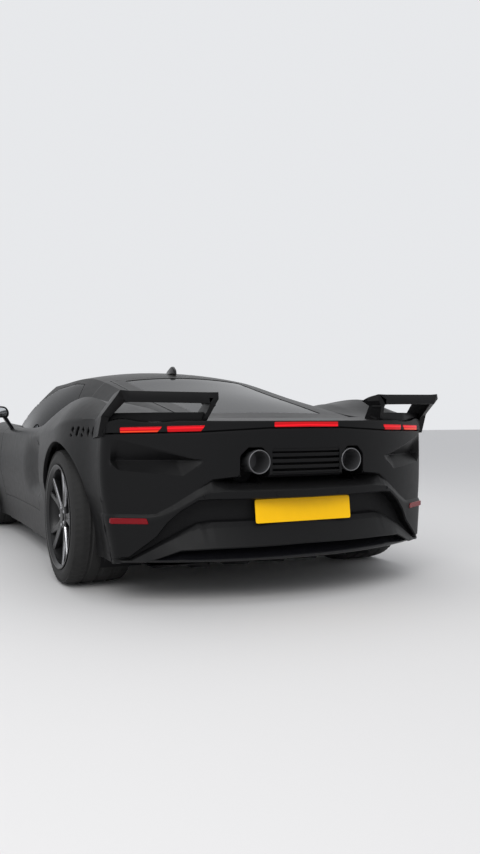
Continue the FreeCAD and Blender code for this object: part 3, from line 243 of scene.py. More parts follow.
def body(y, w):
    """The lower body's skin: at each y a section whose corners are splines along the car; w runs from -5, the right
    underside, over 0, the middle of the top, to 5, the left underside, one unit for each side of the section."""
    row = spline(BODY_SECTIONS[:, 0], BODY_SECTIONS[:, 1:], y)
    zu, xu, xs, zs, xc, zc, xf, zf, xv, zv, zm = np.moveaxis(row, -1, 0)
    t = 5 - np.abs(w)
    corners = [np.stack(p, -1) for p in ((xu, zu), (xs, zs), (xc, zc), (xf, zf), (xv, zv))]
    x, z = profile_point(corners, BULGES, np.minimum(t, 4))
    f = np.clip(t - 4, 0, 1)
    crown = t > 4
    x = np.where(crown, xv * (1 - f), x)
    z = np.where(crown, zm + (zv - zm) * (1 - f) ** 2, z)
    return np.stack((np.sign(w) * x, y, z), -1)


def canopy(y, w):
    """The cabin's and buttresses' skin: w runs from -2, the right foot, over the rails at -1 and 1, to 2, the left
    foot."""
    row = spline(CANOPY_SECTIONS[:, 0], CANOPY_SECTIONS[:, 1:], y)
    xb, zb, xr, zr, zm = np.moveaxis(row, -1, 0)
    t = 2 - np.abs(w)
    corners = [np.stack(p, -1) for p in ((xb, zb), (xr, zr))]
    x, z = profile_point(corners, (CANOPY_BULGE,), np.minimum(t, 1))
    f = np.clip(t - 1, 0, 1)
    crown = t > 1
    x = np.where(crown, xr * (1 - f), x)
    z = np.where(crown, zm + (zr - zm) * (1 - f) ** 2, z)
    return np.stack((np.sign(w) * x, y, z), -1)


def tail_y(x, depth=0.0):
    """The tail's plan arc, moved inwards by depth."""
    return TAIL_FACE_Y - TAIL_R + np.sqrt((TAIL_R - depth) ** 2 - np.minimum(np.abs(x), 1.2) ** 2)


def nose_y(x, depth=0.0):
    """The nose's plan arc, moved inwards by depth."""
    return NOSE_Y + NOSE_R - np.sqrt((NOSE_R - depth) ** 2 - np.minimum(np.abs(x), 1.15) ** 2)


def found(function, low, high, wanted, steps=16):
    """Bisection on whole arrays: where a rising function reaches wanted between low and high."""
    low, high = np.full_like(wanted, low), np.full_like(wanted, high)
    for _ in range(steps):
        middle = (low + high) / 2
        under = function(middle) < wanted
        low, high = np.where(under, middle, low), np.where(under, high, middle)
    return (low + high) / 2


def body_top(x, y):
    """Height of the lower body's skin over a plan point, inside its shoulder crease."""
    x = np.abs(x)
    w = found(lambda v: body(y, v)[..., 0], 1e-6, 3.0, x)
    return body(y, w)[..., 2]


def body_side(y, z):
    """Half width of the lower body's skin at a side view point, below its shoulder crease."""
    w = found(lambda v: -body(y, v)[..., 2], 3.0, 5.0 - 1e-6, -z)
    return body(y, w)[..., 0]


def outside(a, b, outline):
    """Signed distance of points (a, b) from a closed outline: nearest edge, negative inside by the crossing rule."""
    best, inside = np.full(a.shape, np.inf), np.zeros(a.shape, bool)
    for (p, q), (r, s) in zip(outline, outline[1:] + outline[:1]):
        da, db = r - p, s - q
        t = np.clip(((a - p) * da + (b - q) * db) / (da * da + db * db), 0, 1)
        best = np.minimum(best, np.hypot(a - p - t * da, b - q - t * db))
        inside ^= ((q > b) != (s > b)) & (a < (b - q) * da / (db if db else 1e-12) + p)
    return np.where(inside, -best, best)


def rounded(outline, radius, steps=3):
    """A closed outline with each corner replaced by a quadratic curve that starts and ends a radius away from it."""
    p = np.asarray(outline, float)

    def reach(way):
        return way * np.minimum(radius / np.linalg.norm(way, axis=1, keepdims=True), 0.45)

    a, b = p + reach(np.roll(p, 1, 0) - p), p + reach(np.roll(p, -1, 0) - p)
    t = np.linspace(0, 1, steps + 1)[None, :, None]
    return ((1 - t) ** 2 * a[:, None] + 2 * t * (1 - t) * p[:, None] + t ** 2 * b[:, None]).reshape(-1, 2)


def grown(outline, by):
    """A closed outline moved outwards by a distance, each corner along the mitre of its two edges' normals."""
    edge = np.roll(outline, -1, 0) - outline
    area = np.sum(outline[:, 0] * np.roll(outline[:, 1], -1) - outline[:, 1] * np.roll(outline[:, 0], -1))
    normal = np.stack((edge[:, 1], -edge[:, 0]), 1) / np.maximum(np.linalg.norm(edge, axis=1, keepdims=True), 1e-12)
    corner = normal + np.roll(normal, 1, 0)
    corner *= 2 / np.maximum((corner ** 2).sum(1, keepdims=True), 0.8)
    return outline + math.copysign(by, area * by) * corner


def weighed_normals(points):
    """Unit normals of a grid: the cross product of its differences along both ways, which points out of the car."""
    along, across = np.gradient(points, axis=0), np.gradient(points, axis=1)
    n = np.cross(across, along)
    return n / np.maximum(np.linalg.norm(n, axis=-1, keepdims=True), 1e-9)


def finish_mesh(name, verts, loops, sizes, material, sharp=math.radians(28)):
    """A mesh from vertices and faces given as one row of corners with the size of each face."""
    mesh = bpy.data.meshes.new(name)
    mesh.vertices.add(len(verts))
    mesh.vertices.foreach_set("co", np.ascontiguousarray(verts, np.float32).ravel())
    mesh.loops.add(len(loops))
    mesh.loops.foreach_set("vertex_index", np.ascontiguousarray(loops, np.int32))
    mesh.polygons.add(len(sizes))
    starts = np.concatenate(([0], np.cumsum(sizes)[:-1])).astype(np.int32)
    mesh.polygons.foreach_set("loop_start", starts)
    mesh.polygons.foreach_set("loop_total", np.ascontiguousarray(sizes, np.int32))
    mesh.update(calc_edges=True)
    mesh.validate()
    mesh.polygons.foreach_set("use_smooth", np.ones(len(mesh.polygons), bool))
    mesh.set_sharp_from_angle(angle=sharp)
    piece = bpy.data.objects.new(name, mesh)
    bpy.context.scene.collection.objects.link(piece)
    mesh.materials.append(material)
    return piece


def mesh_points(piece):
    co = np.empty(len(piece.data.vertices) * 3, np.float32)
    piece.data.vertices.foreach_get("co", co)
    return co.reshape(-1, 3).astype(float)


def put_points(piece, points):
    piece.data.vertices.foreach_set("co", points.astype(np.float32).ravel())


def crosswise(a, b, depth):
    """A side view's outline (y, z) at a place across the car."""
    return np.stack((depth, a, b), -1)


def lengthwise(a, b, depth):
    """A rear view's outline (x, z) at a place along the car."""
    return np.stack((a, depth, b), -1)


def both_ends(levels):
    """The levels of one end, from its cap inwards, then the same for the other end."""
    return [(by, -at) for by, at in levels] + [(by, at) for by, at in levels[::-1]]


def quads(rows, columns, closed_rows=False, closed_columns=False):
    """Corner indices of a grid's quads, turned so that across x along points outwards."""
    i = np.arange(rows if closed_rows else rows - 1)
    j = np.arange(columns if closed_columns else columns - 1)
    i, j = np.meshgrid(i, j, indexing="ij")
    k, m = (i + 1) % rows, (j + 1) % columns
    return np.stack((i * columns + j, i * columns + m, k * columns + m, k * columns + j), -1).reshape(-1, 4)


def sheet_faces(distance):
    """The faces of a grid that lie inside a border, distance 0 on it: whole quads, and a triangle where one corner is
    out."""
    rows, columns = distance.shape
    faces = quads(rows, columns)
    kept = (distance.ravel() <= 1e-5)[faces]
    count = kept.sum(1)
    whole = faces[count == 4]
    three = faces[count == 3]
    missing = np.argmin(kept[count == 3], axis=1)
    corners = np.stack([three[np.arange(len(three)), (missing + k) % 4] for k in (1, 2, 3)], -1)
    return whole, corners


def rim_edges(whole, corners):
    """Directed edges that only one face uses, found by matching each edge's code with its reverse."""
    edges = np.concatenate([whole[:, [k, (k + 1) % 4]] for k in range(4)]
                           + [corners[:, [k, (k + 1) % 3]] for k in range(3)])
    big = edges.max() + 1
    code, reverse = edges[:, 0] * big + edges[:, 1], edges[:, 1] * big + edges[:, 0]
    return edges[~np.isin(code, reverse)]


def unpinched(whole, corners):
    """Drops the faces at a point where the border touches itself, triangles first, so that the shell closes there."""
    for _ in range(6):
        pinched = np.flatnonzero(np.bincount(rim_edges(whole, corners)[:, 0]) > 1)
        if not len(pinched):
            break
        hit = np.isin(corners, pinched).any(1)
        if hit.any():
            corners = corners[~hit]
        else:
            whole = whole[~np.isin(whole, pinched).any(1)]
    return whole, corners


def panel(name, shape, u, v, border, material, wall=WALL, flip=False, roll=0.0022):
    """A panel cut from a skin: a grid of shape(u, v) whose points near the border are slid onto it inside the grid's
    own parameters, backed by a copy moved inwards by the wall and closed by a rim whose outer edge is rolled over by a
    quarter circle. border(points) is a signed distance."""
    grid_u, grid_v = np.meshgrid(u, v, indexing="ij")
    cell_u, cell_v = np.gradient(u)[:, None], np.gradient(v)[None, :]
    tiny = 1e-3
    for _ in range(3):
        points = shape(grid_u, grid_v)
        d = border(points)
        du = (border(shape(grid_u + tiny * cell_u, grid_v)) - d) / tiny
        dv = (border(shape(grid_u, grid_v + tiny * cell_v)) - d) / tiny
        size = np.maximum(du * du + dv * dv, 1e-12)
        move_u, move_v = -d * du / size, -d * dv / size
        near = np.maximum(np.abs(move_u), np.abs(move_v)) < 0.62
        grid_u = grid_u + np.where(near, move_u, 0) * cell_u
        grid_v = grid_v + np.where(near, move_v, 0) * cell_v
    points = shape(grid_u, grid_v)
    d = np.where(near, 0.0, border(points))
    normals = weighed_normals(points) * (-1 if flip else 1)
    whole, corners = unpinched(*sheet_faces(d))
    used = np.unique(np.concatenate((whole.ravel(), corners.ravel())))
    index = np.full(d.size, -1)
    index[used] = np.arange(len(used))
    whole, corners = index[whole], index[corners]
    outer = points.reshape(-1, 3)[used]
    inner = outer - wall * normals.reshape(-1, 3)[used]
    if flip:
        whole, corners = whole[:, ::-1], corners[:, ::-1]
    rim = rim_edges(whole, corners)
    n = len(used)
    facing = normals.reshape(-1, 3)[used]
    outward = np.zeros_like(outer)
    for end in (0, 1):
        np.add.at(outward, rim[:, end], np.cross(outer[rim[:, 1]] - outer[rim[:, 0]], facing[rim[:, end]]))
    outward /= np.maximum(np.linalg.norm(outward, axis=1, keepdims=True), 1e-9)
    edge = np.unique(rim)
    place = np.full(n, -1)
    place[edge] = np.arange(len(edge))
    rings = [outer[edge] + roll * (math.sin(t) * outward[edge] - (1 - math.cos(t)) * facing[edge]) for t in ROLL_TURNS]
    inner[edge] += roll * outward[edge]
    ladder = [rim] + [place[rim] + 2 * n + k * len(edge) for k in range(len(rings))] + [rim + n]
    band = [np.stack((a[:, 1], a[:, 0], b[:, 0], b[:, 1]), -1) for a, b in zip(ladder, ladder[1:])]
    four = np.concatenate([whole, whole[:, ::-1] + n] + band)
    three = np.concatenate((corners, corners[:, ::-1] + n))
    verts = np.concatenate([outer, inner] + rings)
    loops = np.concatenate((four.ravel(), three.ravel()))
    return finish_mesh(name, verts, loops, np.concatenate((np.full(len(four), 4), np.full(len(three), 3))), material)


def merged_grid(name, points, material, closed_rows=False, closed_columns=False, flip=False, sharp=28):
    """A mesh from a grid of points. Where the columns run round, its open ends are closed by one face each, and the
    faces are turned outwards by the sign of the volume they hold."""
    rows, columns = points.shape[:2]
    faces = quads(rows, columns, closed_rows, closed_columns)
    flat = points.reshape(-1, 3)
    if closed_columns:
        a, b, c, d = np.moveaxis((flat - flat.mean(0))[faces], 1, 0)
        flip = np.sum(a * np.cross(b, c) + a * np.cross(c, d)) < 0
    if flip:
        faces = faces[:, ::-1]
    loops, sizes = faces.ravel(), np.full(len(faces), 4)
    if closed_columns and not closed_rows:
        first, last = np.arange(columns)[::-1], np.arange(columns) + (rows - 1) * columns
        if flip:
            first, last = first[::-1], last[::-1]
        loops, sizes = np.concatenate((loops, first, last)), np.concatenate((sizes, [columns, columns]))
    return finish_mesh(name, flat, loops, sizes, material, math.radians(sharp))


def lathe(name, profile, centre, axis, material, turns=96, closed=False, sharp=28):
    """A profile of (radius, place along the axis) turned about an axis through the centre; flat discs close its ends,
    or the profile's own end meets its start."""
    angle = np.arange(turns) * 2 * math.pi / turns
    r, s = np.asarray(profile, float).T
    a, b = [k for k in range(3) if k != axis]
    points = np.empty((len(r), turns, 3))
    points[..., axis] = s[:, None]
    points[..., a], points[..., b] = r[:, None] * np.cos(angle), r[:, None] * np.sin(angle)
    return merged_grid(name, points + np.asarray(centre), material, closed_rows=closed, closed_columns=True,
                       sharp=sharp)


def slab(name, outline, levels, place, material, sharp=28):
    """Copies of one outline, each grown and moved to its level of depth, skinned in order and closed by flat ends."""
    loops = [place(*grown(outline, by).T, np.full(len(outline), depth)) for by, depth in levels]
    return merged_grid(name, np.stack(loops), material, closed_columns=True, sharp=sharp)


# ---------------------------------------------------------------- finishes

def satin_paint(look):
    """Satin black paint: fine grain in its gloss, a trace of dust on what faces up, and a very light orange peel."""
    def colour(tree):
        up = node(tree, "ShaderNodeSeparateXYZ", {}, {0: node(tree, "ShaderNodeNewGeometry", output=1)}, output=2)
        dust = (up.clamp() * noise(tree, object_point(tree), 9.0, 4.0) * 0.5).clamp()
        return mixed(tree, dust, (*look.paint_colour, 1), (*look.dust_colour, 1))

    def rough(tree):
        return noise(tree, object_point(tree), 26.0, 3.0) * 0.10 + (look.paint_roughness - 0.05)

    def sheen(tree):
        facing = node(tree, "ShaderNodeLayerWeight", {}, {"Blend": 0.5}, output=1)
        return facing * facing * 0.12

    material = surface("satin_black_paint", look.paint_colour, look.paint_roughness,
                       {"Specular IOR Level": look.paint_gloss, "Coat Roughness": 0.24}, colour, rough,
                       lambda tree: noise(tree, object_point(tree), 900.0, 1.0), 0.00002)
    tree = material.node_tree
    tree.links.new(sheen(tree).socket, tree.nodes["Principled BSDF"].inputs["Coat Weight"])
    return material


def gloss_trim():
    return surface("gloss_black_trim", (0.004, 0.004, 0.005), 0.16, {"Specular IOR Level": 0.35},
                   rough=lambda tree: noise(tree, object_point(tree), 30.0) * 0.14 + 0.10)


def dark_plastic():
    return surface("moulded_plastic", (0.005, 0.005, 0.0055), 0.6, {"Specular IOR Level": 0.15},
                   rough=lambda tree: noise(tree, object_point(tree), 60.0) * 0.15 + 0.5,
                   bump=lambda tree: noise(tree, object_point(tree), 1400.0, 2.0), bump_height=0.00006)


def tinted_glass(name="tinted_glass", tint=(0.012, 0.013, 0.015), see=0.55):
    """Dark glass, its gloss broken by a faint film of dust."""
    return surface(name, tint, 0.02, {"Transmission Weight": see, "IOR": 1.14},
                   rough=lambda tree: noise(tree, object_point(tree), 14.0) * 0.04 + 0.01)


def red_lens(strength, name, body):
    """Red lens lit from behind: a bright strip near its top and a hotter line along its lower edge, read from the
    height over the lip's lower edge, which falls by a straight ramp towards the corners. With a small strength it gives
    the reflectors, which are no lamps, a faint painted glow."""
    def glow(tree):
        x, z = (node(tree, "ShaderNodeSeparateXYZ", {}, {0: object_point(tree)}, output=k) for k in (0, 2))
        height = z - 0.81585 + x.abs() * 0.0217
        strip = (1 - ((height - 0.0155) * 180.0).abs()).clamp()
        line = (1 - ((height - 0.0035) * 330.0).abs()).clamp() * (x.abs() > 0.66)
        red = mixed(tree, strip, (0.42, 0.001, 0.003, 1), (0.95, 0.008, 0.022, 1))
        return mixed(tree, line, red, (1.0, 0.13, 0.02, 1))

    material = surface(name, body, 0.22, {"Specular IOR Level": 0.2, "Emission Strength": strength},
                       rough=lambda tree: noise(tree, object_point(tree), 40.0) * 0.08 + 0.18)
    tree = material.node_tree
    tree.links.new(glow(tree).socket, tree.nodes["Principled BSDF"].inputs["Emission Color"])
    return material


def brushed(name, colour, roughness, metallic=1.0):
    """Turned metal: fine rings in its gloss."""
    return surface(name, colour, roughness, {"Metallic": metallic},
                   rough=lambda tree: noise(tree, object_point(tree, (1, 40, 1)), 30.0) * 0.16 + (roughness - 0.08))


def cast_metal(name, colour, roughness=0.5):
    return surface(name, colour, roughness, {"Metallic": 0.85},
                   bump=lambda tree: noise(tree, object_point(tree), 500.0, 3.0), bump_height=0.0002)


def rubber():
    """Tyre rubber: nearly black, with a dusty bloom."""
    return surface("tyre_rubber", (0.012, 0.012, 0.012), 0.78,
                   colour=lambda tree: mixed(tree, noise(tree, object_point(tree), 12.0, 4.0), (0.006, 0.006, 0.006, 1),
                                             (0.014, 0.0135, 0.013, 1)),
                   bump=lambda tree: noise(tree, object_point(tree), 700.0), bump_height=0.00012)


def leather(name="cabin_leather", colour=(0.012, 0.012, 0.013)):
    """Grained leather: creased cells."""
    def grain(tree):
        return node(tree, "ShaderNodeTexVoronoi", {"feature": "DISTANCE_TO_EDGE"},
                    {"Vector": object_point(tree), "Scale": 420.0})
    return surface(name, colour, 0.55, bump=grain, bump_height=0.0004,
                   rough=lambda tree: noise(tree, object_point(tree), 40.0) * 0.2 + 0.45)


def plate_yellow(look):
    return surface("plate_yellow", look.plate_colour, 0.32, {"Specular IOR Level": 0.2},
                   colour=lambda tree: mixed(tree, noise(tree, object_point(tree), 22.0), (*look.plate_colour, 1),
                                             tuple(0.92 * c for c in look.plate_colour) + (1,)))


FINISH_OF_SLOT = {
    "matte_black_paint": "paint", "gloss_black_trim": "gloss", "dark_plastic": "plastic", "tinted_glass": "glass",
    "lamp_red": "lamp", "lamp_clear": "lens", "exhaust_metal": "exhaust", "plate_yellow": "plate",
    "cast_alloy": "cast", "rim_black": "rim", "tyre_rubber": "tyre", "brake_iron": "iron", "chassis_alloy": "chassis",
    "interior_leather": "leather",
}
finishes = {}


def make_finishes(look):
    finishes.update(
        paint=satin_paint(look), gloss=gloss_trim(), plastic=dark_plastic(), glass=tinted_glass(),
        lamp=red_lens(look.lamp_strength, "lit_red_lens", (0.20, 0.001, 0.003)),
        # the reflectors take the red lens with a faint emission: a painted glow on a part that is no lamp
        reflector=red_lens(0.01, "red_reflector_painted_glow", (0.17, 0.002, 0.006)),
        mirror=brushed("mirror_glass", (0.60, 0.62, 0.64), 0.12),
        lens=tinted_glass("clear_lens", (0.85, 0.87, 0.9), 0.92),
        exhaust=brushed("exhaust_metal", (0.15, 0.15, 0.155), 0.42, 0.75),
        plate=plate_yellow(look), cast=cast_metal("cast_alloy", (0.35, 0.35, 0.36)),
        rim=brushed("dark_rim", (0.007, 0.007, 0.0075), 0.34, 0.1),
        # bright machined alloy for bolts and headlamp units, and for the spokes' bevels, where it also paints the edge
        # highlight
        bright=brushed("machined_alloy", (0.55, 0.55, 0.57), 0.3),
        tyre=rubber(), iron=brushed("brake_iron", (0.28, 0.27, 0.27), 0.38),
        chassis=cast_metal("chassis_alloy", (0.05, 0.05, 0.052), 0.6), leather=leather())


# ---------------------------------------------------------------- regions of the skin

def lines(low, high, counts):
    """Grid lines from low to high with the given number of cells in each unit, so that every crease is a grid line."""
    stops = [np.linspace(k, k + 1, counts[int(abs(k + 0.5))] + 1)[:-1] for k in range(math.floor(low), math.ceil(high))]
    every = np.append(np.concatenate(stops), math.ceil(high))
    return every[(every >= low - 1e-9) & (every <= high + 1e-9)]


BODY_CELLS = (38, 15, 12, 26, 26)
CANOPY_CELLS = (44, 26)
CELL = 0.0125


def along(y0, y1, cell=CELL):
    return np.linspace(y0, y1, max(int(round((y1 - y0) / cell)), 2) + 1)


def parts_of(points):
    return points[..., 0], points[..., 1], points[..., 2]


def arch(points, end):
    """Distance outside a wheel arch, negative inside it."""
    x, y, z = parts_of(points)
    return np.where(np.abs(x) > 0.6, np.hypot(y - WHEELS[end][0], z - WHEELS[end][1]) - ARCH_R[end], 1.0)


def screen_y(x, z):
    """The windscreen's face: plan arcs whose middle and radius change with height."""
    middle = np.interp(z, (0.700, 1.000, 1.250), (-1.010, -0.575, -0.205))
    radius = np.interp(z, (0.700, 1.000, 1.250), (1.400, 0.900, 0.800))
    return middle + radius - np.sqrt(radius ** 2 - np.minimum(np.abs(x), radius * 0.95) ** 2)


def over_body(points, sink=0.012):
    """How far a point of the canopy lies over the lower body's skin, less a little that sinks into it."""
    x, y, z = parts_of(points)
    return z - body_top(np.minimum(np.abs(x), 0.9), y) + sink


def door_border(points):
    x, y, z = parts_of(points)
    return np.maximum(outside(y, z, DOOR_OUTLINE), 0.716 - np.abs(x))


def scooped(shape):
    """The skin drawn inwards before the side intake: a smooth step along the car times one over the height, fading
    behind it."""
    def skin(y, w):
        points = shape(y, w)
        run = np.clip((y - 0.18) / 0.46, 0, 1) * np.clip((0.90 - y) / 0.16, 0, 1)
        rise = np.clip((points[..., 2] - 0.36) / 0.12, 0, 1) * np.clip((0.775 - points[..., 2]) / 0.16, 0, 1)
        depth = 0.050 * run * run * (3 - 2 * run) * rise * rise * (3 - 2 * rise)
        return points - np.stack((np.sign(w) * depth, 0 * y, 0 * y), -1)
    return skin


def flare_at(z):
    return np.clip((0.424 - z) / 0.014, 0, 1)


def flared(shape):
    """The body's side moved out under the crease, which the tail wall's lower corner does too."""
    def skin(y, w):
        points = shape(y, w)
        out = FLARE * flare_at(points[..., 2]) * np.clip((y - 1.90) / 0.07, 0, 1)
        return points + np.stack((np.sign(w) * out, 0 * y, 0 * y), -1)
    return skin


def quarter_body_border(points):
    x, y, z = parts_of(points)
    end = np.where(z > lip_low(x) - 0.010, 0.0, FILLET)
    d = np.maximum.reduce((0.44 - y, y - tail_y(x) + end, np.where(y > REAR, 0.198, 0.294) - z))
    d = np.maximum(d, GAP - door_border(points))
    d = np.maximum(d, -arch(points, "rear"))
    d = np.maximum(d, np.where(y < LID_REAR_Y + 0.006, LID_HALF + GAP - np.abs(x), -1.0))
    d = np.maximum(d, np.minimum.reduce((y - LID_REAR_Y - 0.006, z - lip_low(x), LIP_HALF - np.abs(x))))
    side = np.abs(x) > 0.80
    d = np.maximum(d, np.where(side, -outside(y, z, SIDE_SLOT), -1.0))
    for i in range(LOUVRE_COUNT):
        slit = tuple((LOUVRE_Y + i * LOUVRE_PITCH + a, LOUVRE_Z + b) for a, b in LOUVRE)
        d = np.maximum(d, np.where(side, -outside(y, z, slit), -1.0))
    return np.maximum(d, 0.545 + 0.035 * np.clip((y - 0.9) / 1.1, 0, 1) - np.abs(x) - 0.04)


def louvre_liner_border(points):
    x, y, z = parts_of(points)
    rest = ((1.615, 0.740), (1.995, 0.740), (1.995, 0.845), (1.615, 0.845))
    return np.maximum(outside(y, z, rest), 0.70 - np.abs(x))


def quarter_canopy_border(points):
    x, y, _ = parts_of(points)
    d = np.maximum.reduce((0.684 - y, y - LID_REAR_Y - 0.006, -over_body(points)))
    return np.maximum(d, np.where(y < LID_REAR_Y + 0.006, LID_HALF + GAP - np.abs(x), -1.0))


def roof_border(points):
    x, y, z = parts_of(points)
    d = np.maximum.reduce((y - 0.684, screen_y(x, z) - y, -over_body(points)))
    window = np.where(np.abs(x) > 0.42, outside(y, z, WINDOW_OUTLINE), 1.0)
    return np.maximum(d, 0.006 - window)


def window_border(points):
    x, y, z = parts_of(points)
    return np.maximum(np.maximum(outside(y, z, WINDOW_OUTLINE), -over_body(points, 0.03)), 0.42 - np.abs(x))


def lip_low(x):
    """Lower edge of the tail's lip, which drops towards the corners."""
    return 0.822 - np.interp(np.abs(x), (0, 0.2, 0.5, 1.1), (0, 0.001, 0.017, 0.030))


def deck(x, y):
    """The top skin over the engine: the higher of canopy and lower body, blended over a centimetre."""
    ax = np.abs(x)
    w = found(lambda v: canopy(y, v)[..., 0], 1e-6, 2.0, ax)
    a, b = canopy(np.minimum(y, 2.08), w)[..., 2], body_top(ax, y)
    fade = np.clip((2.06 - y) / 0.12, 0, 1)
    return b + fade * ((a - b) + np.sqrt((a - b) ** 2 + 0.0001)) / 2


def deck_skin(y, x):
    return np.stack((x, y, deck(x, y)), -1)


def sunk(shape, depth):
    """A skin moved inwards along its normals."""
    def skin(u, v):
        e = 1e-4
        points = shape(u, v)
        n = np.cross(shape(u, v + e) - points, shape(u + e, v) - points)
        return points - depth * n / np.maximum(np.linalg.norm(n, axis=-1, keepdims=True), 1e-12)
    return skin


def tail_wall(depth=0.0):
    """The upright wall along the tail's plan arc, x across and z up."""
    def skin(z, x):
        return np.stack((x, tail_y(x, depth), z), -1)
    return skin


BONNET = ((-0.470, -2.120), (0.470, -2.120), (0.640, -0.905), (-0.640, -0.905))
COWL = ((-0.640, -0.905), (0.640, -0.905), (0.770, -0.586), (-0.770, -0.586))
HEADLAMP = ((0.560, -2.170), (0.880, -2.100), (0.960, -1.900), (0.850, -1.800), (0.620, -2.040))
SIDE_INTAKE = ((0.470, 0.215), (0.800, 0.225), (0.830, 0.330), (0.790, 0.440), (0.560, 0.400))
CENTRE_INTAKE = ((-0.400, 0.190), (0.400, 0.190), (0.360, 0.290), (-0.360, 0.290))


def is_nose(points):
    """Distance outside the nose panel's share of the skin."""
    _, y, z = parts_of(points)
    return np.minimum(y + 1.985, np.maximum(y - FRONT, z - 0.430))


def fender_border(points):
    x, y, z = parts_of(points)
    ax = np.abs(x)
    d = np.maximum.reduce((y + 0.586, -is_nose(points), 0.130 - z))
    d = np.maximum(d, GAP - outside(x, y, BONNET))
    d = np.maximum(d, -outside(x, y, COWL))
    d = np.maximum(d, np.where(z > 0.56, -outside(ax, y, HEADLAMP), -1.0))
    return np.maximum(d, -arch(points, "front"))


def nose_top_border(points):
    x, y, z = parts_of(points)
    ax = np.abs(x)
    d = np.maximum.reduce((is_nose(points), nose_y(x) - y, 0.130 - z))
    d = np.maximum(d, GAP - outside(x, y, BONNET))
    d = np.maximum(d, np.where(z > 0.56, -outside(ax, y, HEADLAMP), -1.0))
    return np.maximum(d, -arch(points, "front"))


def nose_wall(z, x):
    return np.stack((x, nose_y(x), z), -1)


def nose_wall_border(points):
    x, y, z = parts_of(points)
    side = body_side(y, np.clip(z, 0.13, 0.57))
    d = np.maximum.reduce((np.abs(x) - side, z - body_top(np.minimum(np.abs(x), 0.90), y) + 0.002, 0.125 - z))
    d = np.maximum(d, -outside(np.abs(x), z, SIDE_INTAKE))
    return np.maximum(d, -outside(x, z, CENTRE_INTAKE))


def plan_border(outline):
    def border(points):
        return outside(points[..., 0], points[..., 1], outline)
    return border


def sill_border(points):
    _, y, z = parts_of(points)
    return np.maximum.reduce((-0.586 - y, y - REAR, z - 0.294, 0.122 - z, -arch(points, "rear")))


def as_piece(piece, body_name, slot_name, *nodes):
    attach(piece, body_name)
    if nodes:
        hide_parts(*nodes)
    return piece


# ---------------------------------------------------------------- body panels

PANELS = (
    # name, skin, along, across, border, finish, body, replaced nodes
    ("door_left_skin", scooped(body), (-0.580, 0.690), (2, 5), door_border, "paint", "door_left", ("door_left",)),
    ("door_right_skin", scooped(body), (-0.580, 0.690), (-5, -2), door_border, "paint", "door_right", ("door_right",)),
    ("quarter_left", flared(scooped(body)), (0.440, 2.330), (0, 5), quarter_body_border, "paint", "body",
     ("rear_quarters",)),
    ("quarter_right", flared(scooped(body)), (0.440, 2.330), (-5, 0), quarter_body_border, "paint", "body", ()),
    ("buttress_left", canopy, (0.684, 2.060), (0, 2), quarter_canopy_border, "paint", "body", ()),
    ("buttress_right", canopy, (0.684, 2.060), (-2, 0), quarter_canopy_border, "paint", "body", ()),
    ("roof_skin", canopy, (-0.985, 0.690), (-2, 2), roof_border, "paint", "body", ("roof_frame",)),
    ("fender_left", body, (-2.330, -0.586), (0, 5), fender_border, "paint", "body", ("front_fenders",)),
    ("fender_right", body, (-2.330, -0.586), (-5, 0), fender_border, "paint", "body", ()),
    ("nose_skin", body, (-2.346, -0.820), (-5, 5), nose_top_border, "paint", "body", ("front_bumper",)),
    ("bonnet_skin", body, (-2.140, -0.890), (-3, 3), plan_border(BONNET), "paint", "bonnet_panel", ("bonnet",)),
    ("cowl_skin", body, (-0.920, -0.570), (-3, 3), plan_border(COWL), "gloss", "body", ("cowl",)),
    ("sill_left", body, (-0.586, REAR), (3, 5), sill_border, "paint", "body", ("side_sills",)),
    ("sill_right", body, (-0.586, REAR), (-5, -3), sill_border, "paint", "body", ()),
    ("window_left", canopy, (-0.540, 0.570), (0, 2), window_border, "glass", "door_left", ("door_glass_left",)),
    ("window_right", canopy, (-0.540, 0.570), (-2, 0), window_border, "glass", "door_right", ("door_glass_right",)),
)
PANEL_SLOTS = {"paint": "matte_black_paint", "gloss": "gloss_black_trim", "glass": "tinted_glass"}
WINDOW_WALL = 0.005


class BodyPanels(bpy.types.Operator):
    """Cuts the painted panels, sills, cowl and door glass from the body's two skins"""
    bl_idname = "supercar.body_panels"
    bl_label = "Body panels"

    def execute(self, context):
        for name, skin, (y0, y1), (w0, w1), border, finish, rider, nodes in PANELS:
            cells = CANOPY_CELLS if skin is canopy else BODY_CELLS
            wall = WINDOW_WALL if finish == "glass" else context.scene.supercar.wall
            piece = panel(name, skin, along(y0, y1), lines(w0, w1, cells), border, finishes[finish], wall)
            as_piece(piece, rider, PANEL_SLOTS[finish], *nodes)
        for side, word in SIDES:
            across = lines(*((1, 5) if side > 0 else (-5, -1)), BODY_CELLS)
            liner = panel("louvre_liner_" + word, sunk(body, 0.034), along(1.60, 2.02, 0.015), across,
                          louvre_liner_border, finishes["plastic"], 0.004)
            as_piece(liner, "body", "dark_plastic")
        return {"FINISHED"}


# ---------------------------------------------------------------- the tail

